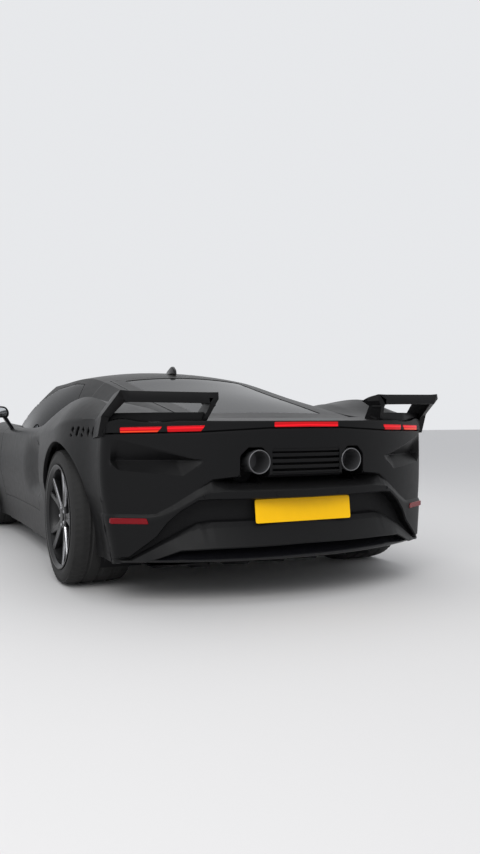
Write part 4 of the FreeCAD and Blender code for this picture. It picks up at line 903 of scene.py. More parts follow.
# The tail wall as feature lines, from the bottom up: cells to the next line, then the line's own knots as (distance
# from the middle, height) and as (distance from the middle, depth behind the plan arc)
TAIL_LINES = (
    (2, ((0, 0.262), (0.45, 0.254), (0.60, 0.247), (0.74, 0.196), (1, 0.190)), ((0, 0.045), (1, 0.045))),
    (1, ((0, 0.273), (0.45, 0.265), (0.60, 0.258), (0.74, 0.202), (1, 0.196)),
     ((0, -0.014), (0.56, -0.014), (0.80, 0.004))),
    (9, ((0, 0.279), (0.45, 0.271), (0.60, 0.264), (0.74, 0.206), (1, 0.199)),
     ((0, -0.019), (0.56, -0.019), (0.80, 0.000))),
    (1, ((0, 0.386), (0.45, 0.381), (0.50, 0.372), (0.643, 0.300), (0.795, 0.211), (1, 0.203)),
     ((0, 0.042), (0.48, 0.038), (0.62, 0.012), (0.80, 0.004))),
    (1, ((0, 0.390), (0.45, 0.386), (0.51, 0.376), (0.645, 0.304), (0.797, 0.214), (1, 0.206)),
     ((0, 0.049), (0.48, 0.046), (0.62, 0.020), (0.80, 0.010))),
    (7, ((0, 0.392), (0.45, 0.388), (0.51, 0.378), (0.647, 0.306), (0.799, 0.216), (1, 0.208)),
     ((0, 0.066), (0.55, 0.064), (0.70, 0.040), (0.80, 0.024))),
    (1, ((0, 0.484), (0.47, 0.484), (0.53, 0.478), (0.60, 0.430), (0.652, 0.378), (0.690, 0.318), (0.803, 0.222),
         (1, 0.213)), ((0, 0.060), (0.55, 0.058), (0.70, 0.040), (0.80, 0.024))),
    (1, ((0, 0.488), (0.47, 0.489), (0.53, 0.484), (0.602, 0.436), (0.656, 0.382), (0.694, 0.322), (0.807, 0.226),
         (1, 0.217)), ((0, -0.010), (0.50, -0.010), (0.60, -0.006), (0.70, 0.000))),
    (4, ((0, 0.493), (0.47, 0.495), (0.53, 0.490), (0.605, 0.441), (0.660, 0.387), (0.700, 0.326), (0.811, 0.230),
         (1, 0.221)), ((0, -0.019), (0.50, -0.019), (0.60, -0.014), (0.70, -0.008))),
    (1, ((0, 0.525), (0.40, 0.527), (0.49, 0.520), (0.54, 0.497), (0.61, 0.450), (0.67, 0.418), (0.72, 0.409),
         (1, 0.409)), ((0, -0.019), (0.50, -0.019), (0.60, -0.014), (0.70, -0.008))),
    (9, ((0, 0.531), (0.40, 0.533), (0.49, 0.526), (0.545, 0.502), (0.615, 0.455), (0.675, 0.424), (0.72, 0.414),
         (1, 0.414)), ((0, -0.012), (0.49, -0.013), (0.60, -0.011), (0.70, -0.006))),
    (1, ((0, 0.580), (0.36, 0.580), (0.46, 0.574), (0.559, 0.515), (0.642, 0.458), (0.699, 0.427), (0.73, 0.424),
         (1, 0.424)), ((0, 0.105), (0.34, 0.105), (0.46, 0.012), (0.52, 0.000))),
    (1, ((0, 0.588), (0.36, 0.588), (0.46, 0.579), (0.559, 0.519), (0.644, 0.462), (0.700, 0.430), (0.73, 0.428),
         (1, 0.428)), ((0, 0.016), (0.36, 0.014), (0.48, 0.002), (0.55, 0.000))),
    (9, ((0, 0.594), (0.36, 0.594), (0.46, 0.584), (0.559, 0.524), (0.648, 0.466), (0.704, 0.434), (0.73, 0.432),
         (1, 0.432)), ((0, 0.000), (1, 0.000))),
    (9, ((0, 0.640), (0.40, 0.650), (0.50, 0.664), (0.586, 0.600), (0.845, 0.624), (0.880, 0.656), (1, 0.665)),
     ((0, 0.000), (1, 0.000))),
    (1, ((0, 0.672), (0.40, 0.668), (0.50, 0.6665), (0.845, 0.6665), (0.882, 0.671), (1, 0.674)),
     ((0, 0.000), (0.505, 0.000), (0.60, 0.050), (0.845, 0.046), (0.880, 0.003), (0.9, 0.000))),
    (9, ((0, 0.676), (0.40, 0.672), (0.50, 0.6695), (0.845, 0.6705), (0.884, 0.676), (1, 0.679)),
     ((0, 0.000), (0.505, 0.000), (0.60, 0.050), (0.845, 0.046), (0.880, 0.003), (0.9, 0.000))),
    (1, ((0, 0.696), (0.478, 0.674), (0.54, 0.676), (0.690, 0.716), (0.838, 0.757), (0.882, 0.764), (1, 0.768)),
     ((0, 0.000), (0.52, 0.000), (0.69, 0.004), (0.84, 0.004), (0.88, 0.000))),
    (12, ((0, 0.700), (0.478, 0.678), (0.54, 0.680), (0.863, 0.770), (1, 0.776)), ((0, 0.000), (1, 0.000))),
    (0, ((0, 0.812), (0.2, 0.811), (0.5, 0.795), (1.1, 0.782)), ((0, 0.000), (1, 0.000))),
)
EXHAUST_HOLE = ((0.196, 0.598), (0.196, 0.690), (0.232, 0.729), (0.300, 0.729), (0.340, 0.690), (0.340, 0.598),
                (0.318, 0.556), (0.222, 0.556))
GRILLE_HOLE = ((-0.186, 0.600), (0.186, 0.600), (0.186, 0.722), (-0.186, 0.722))
REFLECTOR = ((0.732, 0.380), (0.884, 0.380), (0.884, 0.407), (0.740, 0.407))
REFLECTOR_LEVELS = ((-0.001, 0.012), (0.000, -0.0100), (-0.002, -0.0125))
EXHAUST_X, EXHAUST_Z, EXHAUST_R, EXHAUST_END = 0.251, 0.660, 0.0565, 2.330
LIP_START, LIP_ROUND = 1.984, 0.004
LIP_HALF = 0.893
HALF_ACROSS = 0.912
TAIL_LAMPS = (
    # name, outline as x and height over the lip's lower edge
    ("brake_lamp", ((-0.172, 0.002), (0.172, 0.002), (0.172, 0.0215), (-0.172, 0.0215)), (1,)),
    ("inner_lamp", ((0.512, 0.001), (0.650, 0.001), (0.652, 0.023), (0.496, 0.023)), (1, -1)),
    ("outer_lamp", ((0.694, 0.001), (0.840, 0.001), (0.840, 0.022), (0.676, 0.022)), (1, -1)),
)
GRILLE_SLAT = ((0.006, -0.009), (0.002, 0.008), (0.030, 0.010), (0.030, -0.007))
GRILLE_BACK = ((0.050, 0.596), (0.050, 0.726), (0.060, 0.726), (0.060, 0.596))
SLAT_HEIGHTS = (0.606, 0.634, 0.662, 0.690, 0.715)
PLATE = ((-0.260, -0.0555), (0.260, -0.0555), (0.260, 0.0555), (-0.260, 0.0555))
PLATE_CENTRE, PLATE_TILT = (2.3005, 0.428), math.radians(7)
PLATE_LEVELS = ((-0.001, -0.003), (0.0, -0.002), (0.0, 0.0), (-0.0008, 0.0008))
HOLDER_LEVELS = ((-0.03, -0.036), (-0.006, -0.0035), (-0.012, -0.0032))
SENSORS = ((-0.500, 0.508), (-0.165, 0.509), (0.165, 0.509), (0.500, 0.506))
SENSOR_PROFILE = ((0.009, -0.012), (0.009, 0.0205), (0.0075, 0.0215), (0.0065, 0.0205))
DIFFUSER_HALF, DIFFUSER_ENDS, DIFFUSER_RISE = 0.745, 0.10, 0.045
# The lower diffuser as depth and height over its underside; a height of 1 stands for the top, which rises inwards
DIFFUSER_SECTION = ((0.006, 0.0), (0.000, 0.006), (0.040, 1.0), (0.056, 1.0), (0.300, -0.03), (0.300, -0.04))
FIN_PATH = np.array([
    # x, y, z of the section's middle, half chord, half thickness at its rear, lean of the chord
    (0.909, 1.925, 0.770, 0.092, 0.019, 0.10),
    (0.903, 1.965, 0.860, 0.092, 0.019, 0.10),
    (0.866, 2.112, 0.958, 0.096, 0.026, 0.03),
    (0.464, 2.198, 0.953, 0.094, 0.026, 0.02),
    (0.468, 2.226, 0.924, 0.062, 0.012, 0.00),
    (0.498, 2.138, 0.820, 0.084, 0.009, 0.00),
])
FIN_SILL_PATH = np.array([
    (0.896, 1.990, 0.867, 0.030, 0.021, 0.0),
    (0.700, 2.120, 0.868, 0.030, 0.022, 0.0),
    (0.476, 2.196, 0.869, 0.030, 0.022, 0.0),
])
FIN_SECTION = ((-1.0, 0.0), (-0.1, 0.62), (1.0, 1.0), (1.0, -1.0), (0.0, -0.55))


def corner_half(z):
    """Half width of the body where its side meets the tail wall, read from a table of heights."""
    heights = np.linspace(0.19, 0.82, 40)
    half = np.full(40, 0.9)
    for _ in range(3):
        half = body_side(tail_y(half), heights)
    return np.interp(z, heights, half)


def tail_surface(line, x):
    """The tail wall: height and depth run straight from one feature line to the next, each line being its knots joined.
    Past the fillet's start it follows the quadratic curve whose control point is the corner and whose end lies on the
    side."""
    ax = np.abs(x)
    z = np.stack([np.interp(ax, *zip(*heights)) for _, heights, _ in TAIL_LINES])
    depth = np.stack([np.interp(ax, *zip(*depths)) for _, _, depths in TAIL_LINES])
    k = np.clip(line.astype(int), 0, len(TAIL_LINES) - 2)[None]
    f = line - k[0]
    z, depth = (np.take_along_axis(rows, k, 0)[0] * (1 - f) + np.take_along_axis(rows, k + 1, 0)[0] * f
                for rows in (z, depth))
    half = corner_half(z)
    flare = FLARE * flare_at(z)
    start = half - FILLET
    t = np.clip((ax - start) / (2 * FILLET), 0, 1)
    corner_y = tail_y(half)
    end_x = body_side(corner_y - FILLET, z)
    flat_x = np.minimum(ax, start)
    px = (1 - t) ** 2 * flat_x + 2 * t * (1 - t) * (half + flare) + t * t * (end_x + flare)
    py = (1 - t) ** 2 * tail_y(flat_x, depth) + 2 * t * (1 - t) * (corner_y + flare) + t * t * (corner_y - FILLET)
    return np.stack((np.sign(x) * px, py, z), -1)


def tail_border(points):
    x, _, z = parts_of(points)
    return np.maximum(-outside(np.abs(x), z, EXHAUST_HOLE), -outside(x, z, GRILLE_HOLE))


def lip(line, x):
    """The tail's lip: the deck as far as the plan arc, a quarter circle over the edge, the wall down to its lower edge,
    and a return inwards."""
    edge = tail_y(x) - LIP_ROUND
    run = np.clip(line, 0, 1)
    turn = np.clip(line - 1, 0, 1) * math.pi / 2
    fall, back = np.clip(line - 2, 0, 1), np.clip(line - 3, 0, 1)
    y = LIP_START + (edge - LIP_START) * run
    top = deck(x, y) - LIP_ROUND * (1 - np.cos(turn))
    z = top + fall * (lip_low(x) - top)
    return np.stack((x, y + LIP_ROUND * np.sin(turn) - 0.030 * back, z), -1)


def lamp_border(outline, side):
    def border(points):
        x, _, z = parts_of(points)
        return outside(side * x, z - lip_low(x), outline)
    return border


def on_tail(x, z, depth):
    x, z, depth = np.broadcast_arrays(x, z, depth)
    return np.stack((x, tail_y(x, depth), z), -1)


def on_plate(x, up, out):
    """A point of the plate's own plane, which leans back by the tilt."""
    c, s = math.cos(PLATE_TILT), math.sin(PLATE_TILT)
    return np.stack((x, PLATE_CENTRE[0] + c * out - s * up, PLATE_CENTRE[1] + c * up + s * out), -1)


def shelf_depth(z):
    """Depth of the shelf under the exhausts at a height, and none over the shelf."""
    return np.where(z < 0.590, np.interp(z, (0.531, 0.580), (-0.012, 0.105)), 0.0)


class TailPanels(bpy.types.Operator):
    """Builds the tail's wall with its bars, recesses and cut-outs, and the lip over it"""
    bl_idname = "supercar.tail_panels"
    bl_label = "Tail panels"

    def execute(self, context):
        stops = [np.linspace(k, k + 1, cells + 1)[:-1] for k, (cells, _, _) in enumerate(TAIL_LINES[:-1])]
        across = np.linspace(-1, 1, 341) * (HALF_ACROSS + FILLET)
        wall = panel("tail_fascia", tail_surface, np.append(np.concatenate(stops), len(TAIL_LINES) - 1), across,
                     tail_border, finishes["paint"], 0.004, flip=True)
        wall.data.materials.append(finishes["plastic"])
        centres = np.empty(len(wall.data.polygons) * 3, np.float32)
        wall.data.polygons.foreach_get("center", centres)
        x, y, z = centres.reshape(-1, 3).T
        # faces deep in the recesses take the dark plastic: the black plastic the car has there, and partly painted
        # shade, the plastic being darker and duller than the paint
        recess = (tail_y(x) - y > 0.026) & (z > 0.21) & (z < 0.486)
        wall.data.polygons.foreach_set("material_index", recess.astype(np.int32))
        as_piece(wall, "body", "matte_black_paint", "rear_bumper")
        rows = np.concatenate((np.linspace(0, 1, 24), np.linspace(1, 2, 5)[1:], np.linspace(2, 3, 5)[1:], (3.5, 4)))
        edge = panel("tail_lip", lip, rows, np.linspace(-LIP_HALF, LIP_HALF, 181),
                     lambda p: np.abs(p[..., 0]) - LIP_HALF - 1e-4, finishes["paint"], 0.004)
        as_piece(edge, "body", "matte_black_paint", "tail_panel")
        x = np.linspace(-0.86, 0.86, 60)[:, None]
        low = lip_low(x)
        depth = np.array([(0.022, 0.022, 0.034, 0.034)]) + 0 * x
        liner = on_tail(x + 0 * depth, low + np.array([(-0.030, 0.008, 0.008, -0.030)]), depth)
        as_piece(merged_grid("lip_gap_liner", liner, finishes["plastic"], closed_columns=True), "body", "dark_plastic")
        return {"FINISHED"}


class TailLamps(bpy.types.Operator):
    """Builds the brake lamp, the four tail lamps and the two reflectors"""
    bl_idname = "supercar.tail_lamps"
    bl_label = "Tail lamps"

    def execute(self, context):
        replaced = ("tail_lamps",)
        for name, outline, sides in TAIL_LAMPS:
            for side in sides:
                ends = sorted(side * x for x, _ in outline)
                across = np.linspace(ends[0] - 0.004, ends[-1] + 0.004, int((ends[-1] - ends[0]) / 0.004))
                lamp = panel(name + ("" if len(sides) == 1 else "_left" if side > 0 else "_right"), tail_wall(-0.0015),
                             along(0.790, 0.850, 0.003), across, lamp_border(outline, side), finishes["lamp"], 0.008,
                             flip=True)
                as_piece(lamp, "body", "lamp_red", *replaced)
                replaced = ()
        for side, word in SIDES:
            outline = rounded(REFLECTOR, 0.007) * (side, 1)
            # the reflectors' finish glows faintly: a painted glow, since the reflectors are no lamps
            lens = slab("reflector_" + word, outline, REFLECTOR_LEVELS, on_tail, finishes["reflector"])
            as_piece(lens, "body", "lamp_red")
        return {"FINISHED"}


def diffuser_floor(y, x):
    """The floor behind the engine, rising rearwards in a straight ramp, with low strakes that hang as narrow ridges."""
    ramp = 0.127 + (y - 1.852) * 0.170
    ridge = np.max([np.clip(1 - np.abs(np.abs(x) - at) / 0.007, 0, 1) for at in (0.09, 0.27, 0.45)], axis=0)
    return np.stack((x, y, ramp - 0.016 * np.minimum(ridge * 2, 1) * np.clip((y - 1.87) / 0.1, 0, 1)), -1)


class TailFittings(bpy.types.Operator):
    """Builds the exhaust tips in their dark wells, the grille between them, the blank plate, sensors and lower
    diffuser"""
    bl_idname = "supercar.tail_fittings"
    bl_label = "Tail fittings"

    def execute(self, context):
        for side, word in SIDES:
            outline = rounded(EXHAUST_HOLE, 0.012) * (side, 1)
            front = shelf_depth(outline[:, 1]) + 0.004
            loops = [on_tail(*grown(outline, out).T, d) for out, d in (
                (0.004, 0 * front + 0.190), (0.004, front + 0.002), (-0.001, front), (-0.001, front + 0.05),
                (-0.001, 0 * front + 0.185))]
            well = merged_grid("exhaust_well_" + word, np.stack(loops), finishes["plastic"], closed_columns=True)
            as_piece(well, "body", "dark_plastic")
            r, wall = EXHAUST_R, 0.0055
            lip_turn = np.linspace(0, math.pi, 7)
            rolled = [(r - wall / 2 + wall / 2 * math.cos(a), wall / 2 * math.sin(a)) for a in lip_turn]
            profile = [(r - 0.008, -0.165), (r - 0.005, -0.150), (r - 0.005, -0.030),
                       (r, -0.020)] + rolled + [(r - wall - 0.001, -0.03), (r - wall - 0.003, -0.130)]
            tip = lathe("exhaust_tip_" + word, profile, (side * EXHAUST_X, EXHAUST_END - wall / 2, EXHAUST_Z), 1,
                        finishes["exhaust"], 96)
            as_piece(tip, "body", "exhaust_metal")
        x = np.linspace(-0.189, 0.189, 40)[:, None]
        section = rounded(GRILLE_SLAT, 0.003)
        for i, z in enumerate(SLAT_HEIGHTS):
            slat = on_tail(x + 0 * section[None, :, 0], z + section[None, :, 1], section[None, :, 0] + 0 * x)
            as_piece(merged_grid("rear_grille_slat_%d" % i, slat, finishes["paint"], closed_columns=True), "body",
                     "dark_plastic", *(("rear_grille",) if i == 0 else ()))
        back = np.array(GRILLE_BACK)[None]
        plate_back = on_tail(x + 0 * back[..., 0], back[..., 1] + 0 * x, back[..., 0] + 0 * x)
        as_piece(merged_grid("rear_grille_back", plate_back, finishes["plastic"], closed_columns=True), "body",
                 "dark_plastic", "rear_trim")
        blank = slab("number_plate_blank", rounded(PLATE, 0.010), PLATE_LEVELS, on_plate, finishes["plate"])
        as_piece(blank, "body", "plate_yellow", "number_plate")
        holder = slab("number_plate_holder", rounded(PLATE, 0.010), HOLDER_LEVELS, on_plate, finishes["plastic"])
        as_piece(holder, "body", "dark_plastic")
        for i, (sx, sz) in enumerate(SENSORS):
            ring = lathe("parking_sensor_%d" % i, SENSOR_PROFILE,
                         (sx, float(tail_y(sx)), sz), 1, finishes["plastic"], 32)
            as_piece(ring, "body", "dark_plastic")
        x = np.linspace(-DIFFUSER_HALF, DIFFUSER_HALF, 90)[:, None]
        rise = DIFFUSER_RISE * np.clip((DIFFUSER_HALF - np.abs(x)) / DIFFUSER_ENDS, 0, 1)
        shape = rounded(DIFFUSER_SECTION, 0.004)
        depth = shape[None, :, 0] + 0 * x
        height = np.where(shape[None, :, 1] > 0.5, 0.215 + rise, 0.204 + shape[None, :, 1] + 0 * x)
        plan = panel("diffuser_floor", diffuser_floor, along(1.852, 2.262, 0.010), np.linspace(-0.600, 0.600, 241),
                     lambda p: p[..., 1] - tail_y(p[..., 0], 0.075), finishes["plastic"], 0.006, flip=True)
        as_piece(plan, "body", "dark_plastic", "rear_diffuser")
        under = merged_grid("diffuser_lip", on_tail(x + 0 * depth, height, depth), finishes["gloss"],
                            closed_columns=True)
        as_piece(under, "body", "gloss_black_trim")
        return {"FINISHED"}


def fin_sections(path, section, steps=14):
    """Closed sections along a path of straight runs, mitred at its corners: the chord lies fore and aft with a lean,
    the thickness lies across the path."""
    t = np.linspace(0, len(path) - 1, steps * (len(path) - 1) + 1)
    row = np.stack([np.interp(t, np.arange(len(path)), column) for column in path.T], -1)
    centre, chord, thick, lean = row[:, :3], row[:, 3], row[:, 4], row[:, 5]
    runs = np.diff(centre, axis=0)
    runs /= np.linalg.norm(runs, axis=1, keepdims=True)
    way = (np.concatenate((runs[:1], runs)) + np.concatenate((runs, runs[-1:]))) / 2
    fore = np.stack((0 * lean, np.cos(lean), np.sin(lean)), -1)
    up = np.cross(fore, way)
    up /= np.maximum((way ** 2).sum(1, keepdims=True), 0.3) ** 0.5 * np.linalg.norm(up, axis=1, keepdims=True)
    return (centre[:, None] + fore[:, None] * (chord[:, None] * section[None, :, 0])[..., None]
            + up[:, None] * (thick[:, None] * section[None, :, 1])[..., None])


class TailFins(bpy.types.Operator):
    """Builds the two loop-shaped fins over the rear corners"""
    bl_idname = "supercar.tail_fins"
    bl_label = "Tail fins"

    def execute(self, context):
        section = rounded(FIN_SECTION, np.array([[0.04], [0.3], [0.10], [0.10], [0.3]]), 4)
        for side, word in SIDES:
            for part, path in (("loop", FIN_PATH), ("sill", FIN_SILL_PATH)):
                fin = merged_grid("tail_fin_%s_%s" % (part, word), fin_sections(path, section) * (side, 1, 1),
                                  finishes["paint"], closed_columns=True)
                as_piece(fin, "body", "matte_black_paint", *(("tail_fins",) if side > 0 and part == "loop" else ()))
        return {"FINISHED"}


# ---------------------------------------------------------------- engine lid

LID = ((-LID_HALF, LID_FRONT_Y), (LID_HALF, LID_FRONT_Y), (LID_HALF, LID_REAR_Y), (-LID_HALF, LID_REAR_Y))


def lid_border(points):
    x, y, _ = parts_of(points)
    return np.maximum(outside(x, y, LID), 0.001 - outside(x, y, LID_GLASS))


class EngineLid(bpy.types.Operator):
    """Builds the engine lid's frame and the glass in it"""
    bl_idname = "supercar.engine_lid"
    bl_label = "Engine lid"

    def execute(self, context):
        across = np.linspace(-LID_HALF - 0.004, LID_HALF + 0.004, 97)
        frame_piece = panel("engine_lid_frame", deck_skin, along(0.686, 1.979, 0.0125), across, lid_border,
                            finishes["paint"], 0.018)
        as_piece(frame_piece, "engine_cover", "matte_black_paint", "engine_lid")
        glass = panel("engine_lid_glass", sunk(deck_skin, 0.003), along(0.740, 1.856, 0.020), across[8:-8],
                      plan_border(LID_GLASS), finishes["glass"], 0.005)
        as_piece(glass, "engine_cover", "tinted_glass", "engine_glass")
        return {"FINISHED"}


# ---------------------------------------------------------------- wheels

TREAD_DEPTH, TREAD_PITCHES = 0.006, 62
RIM_R, RIM_SEAT_R = 0.271, 0.254
SPOKES = 5
SPOKE_ARM = ((0.046, 0.000), (0.110, 0.010), (0.170, 0.026), (0.236, 0.046), (0.262, 0.056))
BOLTS, BOLT_CIRCLE = 5, 0.046
BOLT_HEAD = ((0.0085, -0.01), (0.0085, 0.003), (0.006, 0.005))


def tyre_points(radius, width, turns=186):
    """The tyre round its axle as a closed section turned about it: sidewalls bulge by a sine over their height, the
    tread is nearly flat with three grooves, and every pitch of the shoulder blocks sinks by a groove of its own."""
    half = width / 2
    side = np.linspace(0, 1, 15)
    wall_r = RIM_SEAT_R + 0.012 + (radius - 0.016 - RIM_SEAT_R - 0.012) * side
    wall_x = half * (0.90 + 0.10 * np.sin(math.pi * np.clip(side * 1.02 + 0.06, 0, 1)) ** 0.8) - 0.0006
    across = np.linspace(-1, 1, 47)
    tread_x = across * (half - 0.012)
    tread_r = radius - 0.010 * np.abs(across) ** 5 - 0.0004
    groove = np.max([np.clip(1 - np.abs(tread_x - at * half) / 0.008, 0, 1) ** 0.35 for at in (-0.42, 0.0, 0.42)],
                    axis=0)
    bead_x = np.array([0.86, 0.5, -0.5, -0.86]) * half
    section = [(-wall_x, wall_r), (tread_x, tread_r), (wall_x[::-1], wall_r[::-1]),
               (bead_x, np.full(4, RIM_SEAT_R + 0.004))]
    x, r = (np.concatenate(parts) for parts in zip(*section))
    angle = np.arange(turns) * 2 * math.pi / turns
    shoulder = np.zeros(len(x))
    shoulder[15:62] = np.clip((np.abs(across) - 0.50) / 0.06, 0, 1)
    sunk_by = np.zeros(len(x))
    sunk_by[15:62] = groove
    phase = (angle[:, None] * TREAD_PITCHES / (2 * math.pi) + np.abs(x)[None] * 6) % 1
    block = np.clip(1 - np.abs(phase - 0.5) / 0.14, 0, 1) ** 0.5 * shoulder[None] * (r[None] > radius - 0.012)
    r = r[None] - TREAD_DEPTH * np.maximum(sunk_by[None], 0.7 * block)
    return np.stack((x[None] + 0 * r, r * np.cos(angle)[:, None], r * np.sin(angle)[:, None]), -1)


def rim_profile(width):
    """Barrel of the rim: outer lip, drop well and inner lip, walls 5 mm thick, as (radius, place across from the
    outside)."""
    half = width / 2
    outside_line = [(RIM_R, 0.000), (RIM_R, 0.007), (RIM_SEAT_R, 0.012), (RIM_SEAT_R, 0.045), (0.243, 0.060),
                    (0.243, width - 0.07), (RIM_SEAT_R, width - 0.045), (RIM_SEAT_R, width - 0.012),
                    (RIM_R, width - 0.007), (RIM_R, width - 0.001)]
    inside_line = [(RIM_R - 0.006, width - 0.001), (0.247, width - 0.014), (0.2375, width - 0.07), (0.2375, 0.062),
                   (0.2475, 0.040), (0.2485, 0.014), (RIM_R - 0.007, 0.000)]
    return [(r, half - s) for r, s in outside_line + inside_line]


def spoke_points(width, arm, turn):
    """One arm of a twin spoke: a rounded trapezium carried from the hub to the rim's lip, its line bending aside by the
    arm."""
    path = np.array(SPOKE_ARM)
    knots = np.linspace(0, 1, len(path))
    t = np.linspace(0, 1, 26)
    row = spline(knots, path, t)
    r, aside = row[:, 0], row[:, 1] * arm
    half = width / 2
    face = half - 0.030 + 0.022 * t ** 2
    depth = 0.040 - 0.018 * t
    wide = 0.0155 - 0.0045 * t + 0.008 * np.clip((t - 0.9) / 0.1, 0, 1)
    section = np.array([(-1.0, -1.0), (-1.12, -0.22), (-0.94, 0.0), (0.94, 0.0), (1.12, -0.22), (1.0, -1.0)])
    a = aside[:, None] + wide[:, None] * section[None, :, 0]
    x = face[:, None] + depth[:, None] * section[None, :, 1]
    b = r[:, None] + 0 * a
    c, s = math.cos(turn), math.sin(turn)
    return np.stack((x, a * c + b * s, b * c - a * s), -1)


def joined(name, grids, material, second=None, edges=(), sharp=28):
    """Several closed grids as one mesh, with the given columns' faces in the second material."""
    pieces = []
    for k, points in enumerate(grids):
        pieces.append(merged_grid(name + "_part%d" % k, points, material, closed_columns=True, sharp=sharp))
    counts = [(len(p.data.vertices), len(p.data.loops), len(p.data.polygons)) for p in pieces]
    verts, loops, sizes, marks, base = [], [], [], [], 0
    for piece, points, (n_verts, n_loops, n_faces) in zip(pieces, grids, counts):
        co, corner, total = np.empty(n_verts * 3, np.float32), np.empty(n_loops, np.int32), np.empty(n_faces, np.int32)
        piece.data.vertices.foreach_get("co", co)
        piece.data.loops.foreach_get("vertex_index", corner)
        piece.data.polygons.foreach_get("loop_total", total)
        verts.append(co.reshape(-1, 3))
        loops.append(corner + base)
        sizes.append(total)
        column = np.full(n_faces, -1)
        column[:(points.shape[0] - 1) * points.shape[1]] = np.tile(np.arange(points.shape[1]), points.shape[0] - 1)
        marks.append(np.isin(column, edges))
        base += n_verts
        bpy.data.meshes.remove(piece.data)
    piece = finish_mesh(name, np.concatenate(verts), np.concatenate(loops), np.concatenate(sizes), material,
                        math.radians(sharp))
    if second:
        piece.data.materials.append(second)
        piece.data.polygons.foreach_set("material_index", np.concatenate(marks).astype(np.int32))
    return piece


class Wheels(bpy.types.Operator):
    """Builds the tyres, five-spoke rims, hub caps, bolts and grooved brake discs"""
    bl_idname = "supercar.wheels"
    bl_label = "Wheels"

    def execute(self, context):
        for end, (y, z, middle, radius, width) in WHEELS.items():
            for side, word in SIDES:
                place, turn = np.array((side * middle, y, z)), np.array((side, 1, 1))
                name = "%s_%s" % (end, word)
                rider = "wheel_" + name
                tyre = merged_grid("tyre_%s_tread" % name, tyre_points(radius, width) * turn + place, finishes["tyre"],
                                   closed_rows=True, closed_columns=True, sharp=35)
                as_piece(tyre, rider, "tyre_rubber", "tyre_" + name)
                barrel = lathe("rim_%s_barrel" % name, rim_profile(width), (0, 0, 0), 0, finishes["rim"], 120, True)
                put_points(barrel, mesh_points(barrel) * turn + place)
                if side < 0:
                    barrel.data.flip_normals()
                as_piece(barrel, rider, "rim_black", "rim_" + name)
                arms = [spoke_points(width, arm, 2 * math.pi * k / SPOKES + 0.3) * turn + place
                        for k in range(SPOKES) for arm in (1, -1)]
                # the spokes' bevel faces take the bright machined alloy: machined edges, and partly a painted highlight
                # along each spoke's edges
                spokes = joined("rim_%s_spokes" % name, arms, finishes["rim"], finishes["bright"], (1, 3))
                as_piece(spokes, rider, "rim_black")
                face = width / 2 - 0.028
                hub = [(0.058, face - 0.050), (0.066, face - 0.030), (0.064, face - 0.006), (0.058, face),
                       (0.034, face), (0.031, face - 0.004), (0.030, face + 0.002), (0.026, face + 0.005),
                       (0.004, face + 0.006)]
                cap = lathe("rim_%s_hub" % name, [(r, s * side) for r, s in hub], place, 0, finishes["rim"], 64)
                as_piece(cap, rider, "rim_black")
                for k in range(BOLTS):
                    angle = 2 * math.pi * (k + 0.5) / BOLTS + 0.3
                    at = place + (0, BOLT_CIRCLE * math.sin(angle), BOLT_CIRCLE * math.cos(angle))
                    head = [(r, side * (face + s)) for r, s in BOLT_HEAD]
                    bolt = lathe("rim_%s_bolt_%d" % (name, k), head, at, 0, finishes["bright"], 12)
                    as_piece(bolt, rider, "rim_black")
                disc_r = 0.199 if end == "front" else 0.195
                low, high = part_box("brake_disc_" + name)
                inner, outer = (low[0], high[0]) if side > 0 else (high[0], low[0])
                thick = abs(outer - inner)
                rotor = [(0.075, 0.0), (disc_r, 0.0), (disc_r, 0.008), (disc_r - 0.012, 0.010),
                         (disc_r - 0.012, thick - 0.010), (disc_r, thick - 0.008), (disc_r, thick), (0.075, thick)]
                disc = lathe("brake_disc_%s_rotor" % name, [(r, inner + side * s) for r, s in rotor], (0, y, z), 0,
                             finishes["iron"], 96, True)
                as_piece(disc, rider, "brake_iron", "brake_disc_" + name)
        return {"FINISHED"}


# ---------------------------------------------------------------- nose, mirrors, antenna and silencer

# Intake slats and backing as depth and height, slat heights, headlamp units as x, y and radius
INTAKE_SLAT = ((0.020, -0.004), (0.014, 0.004), (0.044, 0.008), (0.048, 0.000))
INTAKE_BACK = ((0.054, 0.172), (0.054, 0.458), (0.064, 0.458), (0.064, 0.172))
CENTRE_SLATS, SIDE_SLATS = (0.205, 0.228, 0.251, 0.274), (0.250, 0.292, 0.334, 0.376)
HEADLAMP_UNITS = ((0.690, -2.052, 0.030), (0.800, -1.985, 0.030), (0.878, -1.905, 0.024))


def on_nose(x, z, depth):
    x, z, depth = np.broadcast_arrays(x, z, depth)
    return np.stack((x, nose_y(x, depth), z), -1)


def headlamp_border(inset):
    def border(points):
        x, y, z = parts_of(points)
        return np.maximum.reduce((outside(np.abs(x), y, HEADLAMP) + inset, 0.56 - z, nose_y(x) - y + abs(inset)))
    return border


def mesh_rows(heights, low, high, section, place, steps=60):
    """One grid for each height: a closed section carried across from low to high."""
    x = np.linspace(low, high, steps)[:, None]
    return [place(x, z + section[None, :, 1], section[None, :, 0]) for z in heights]


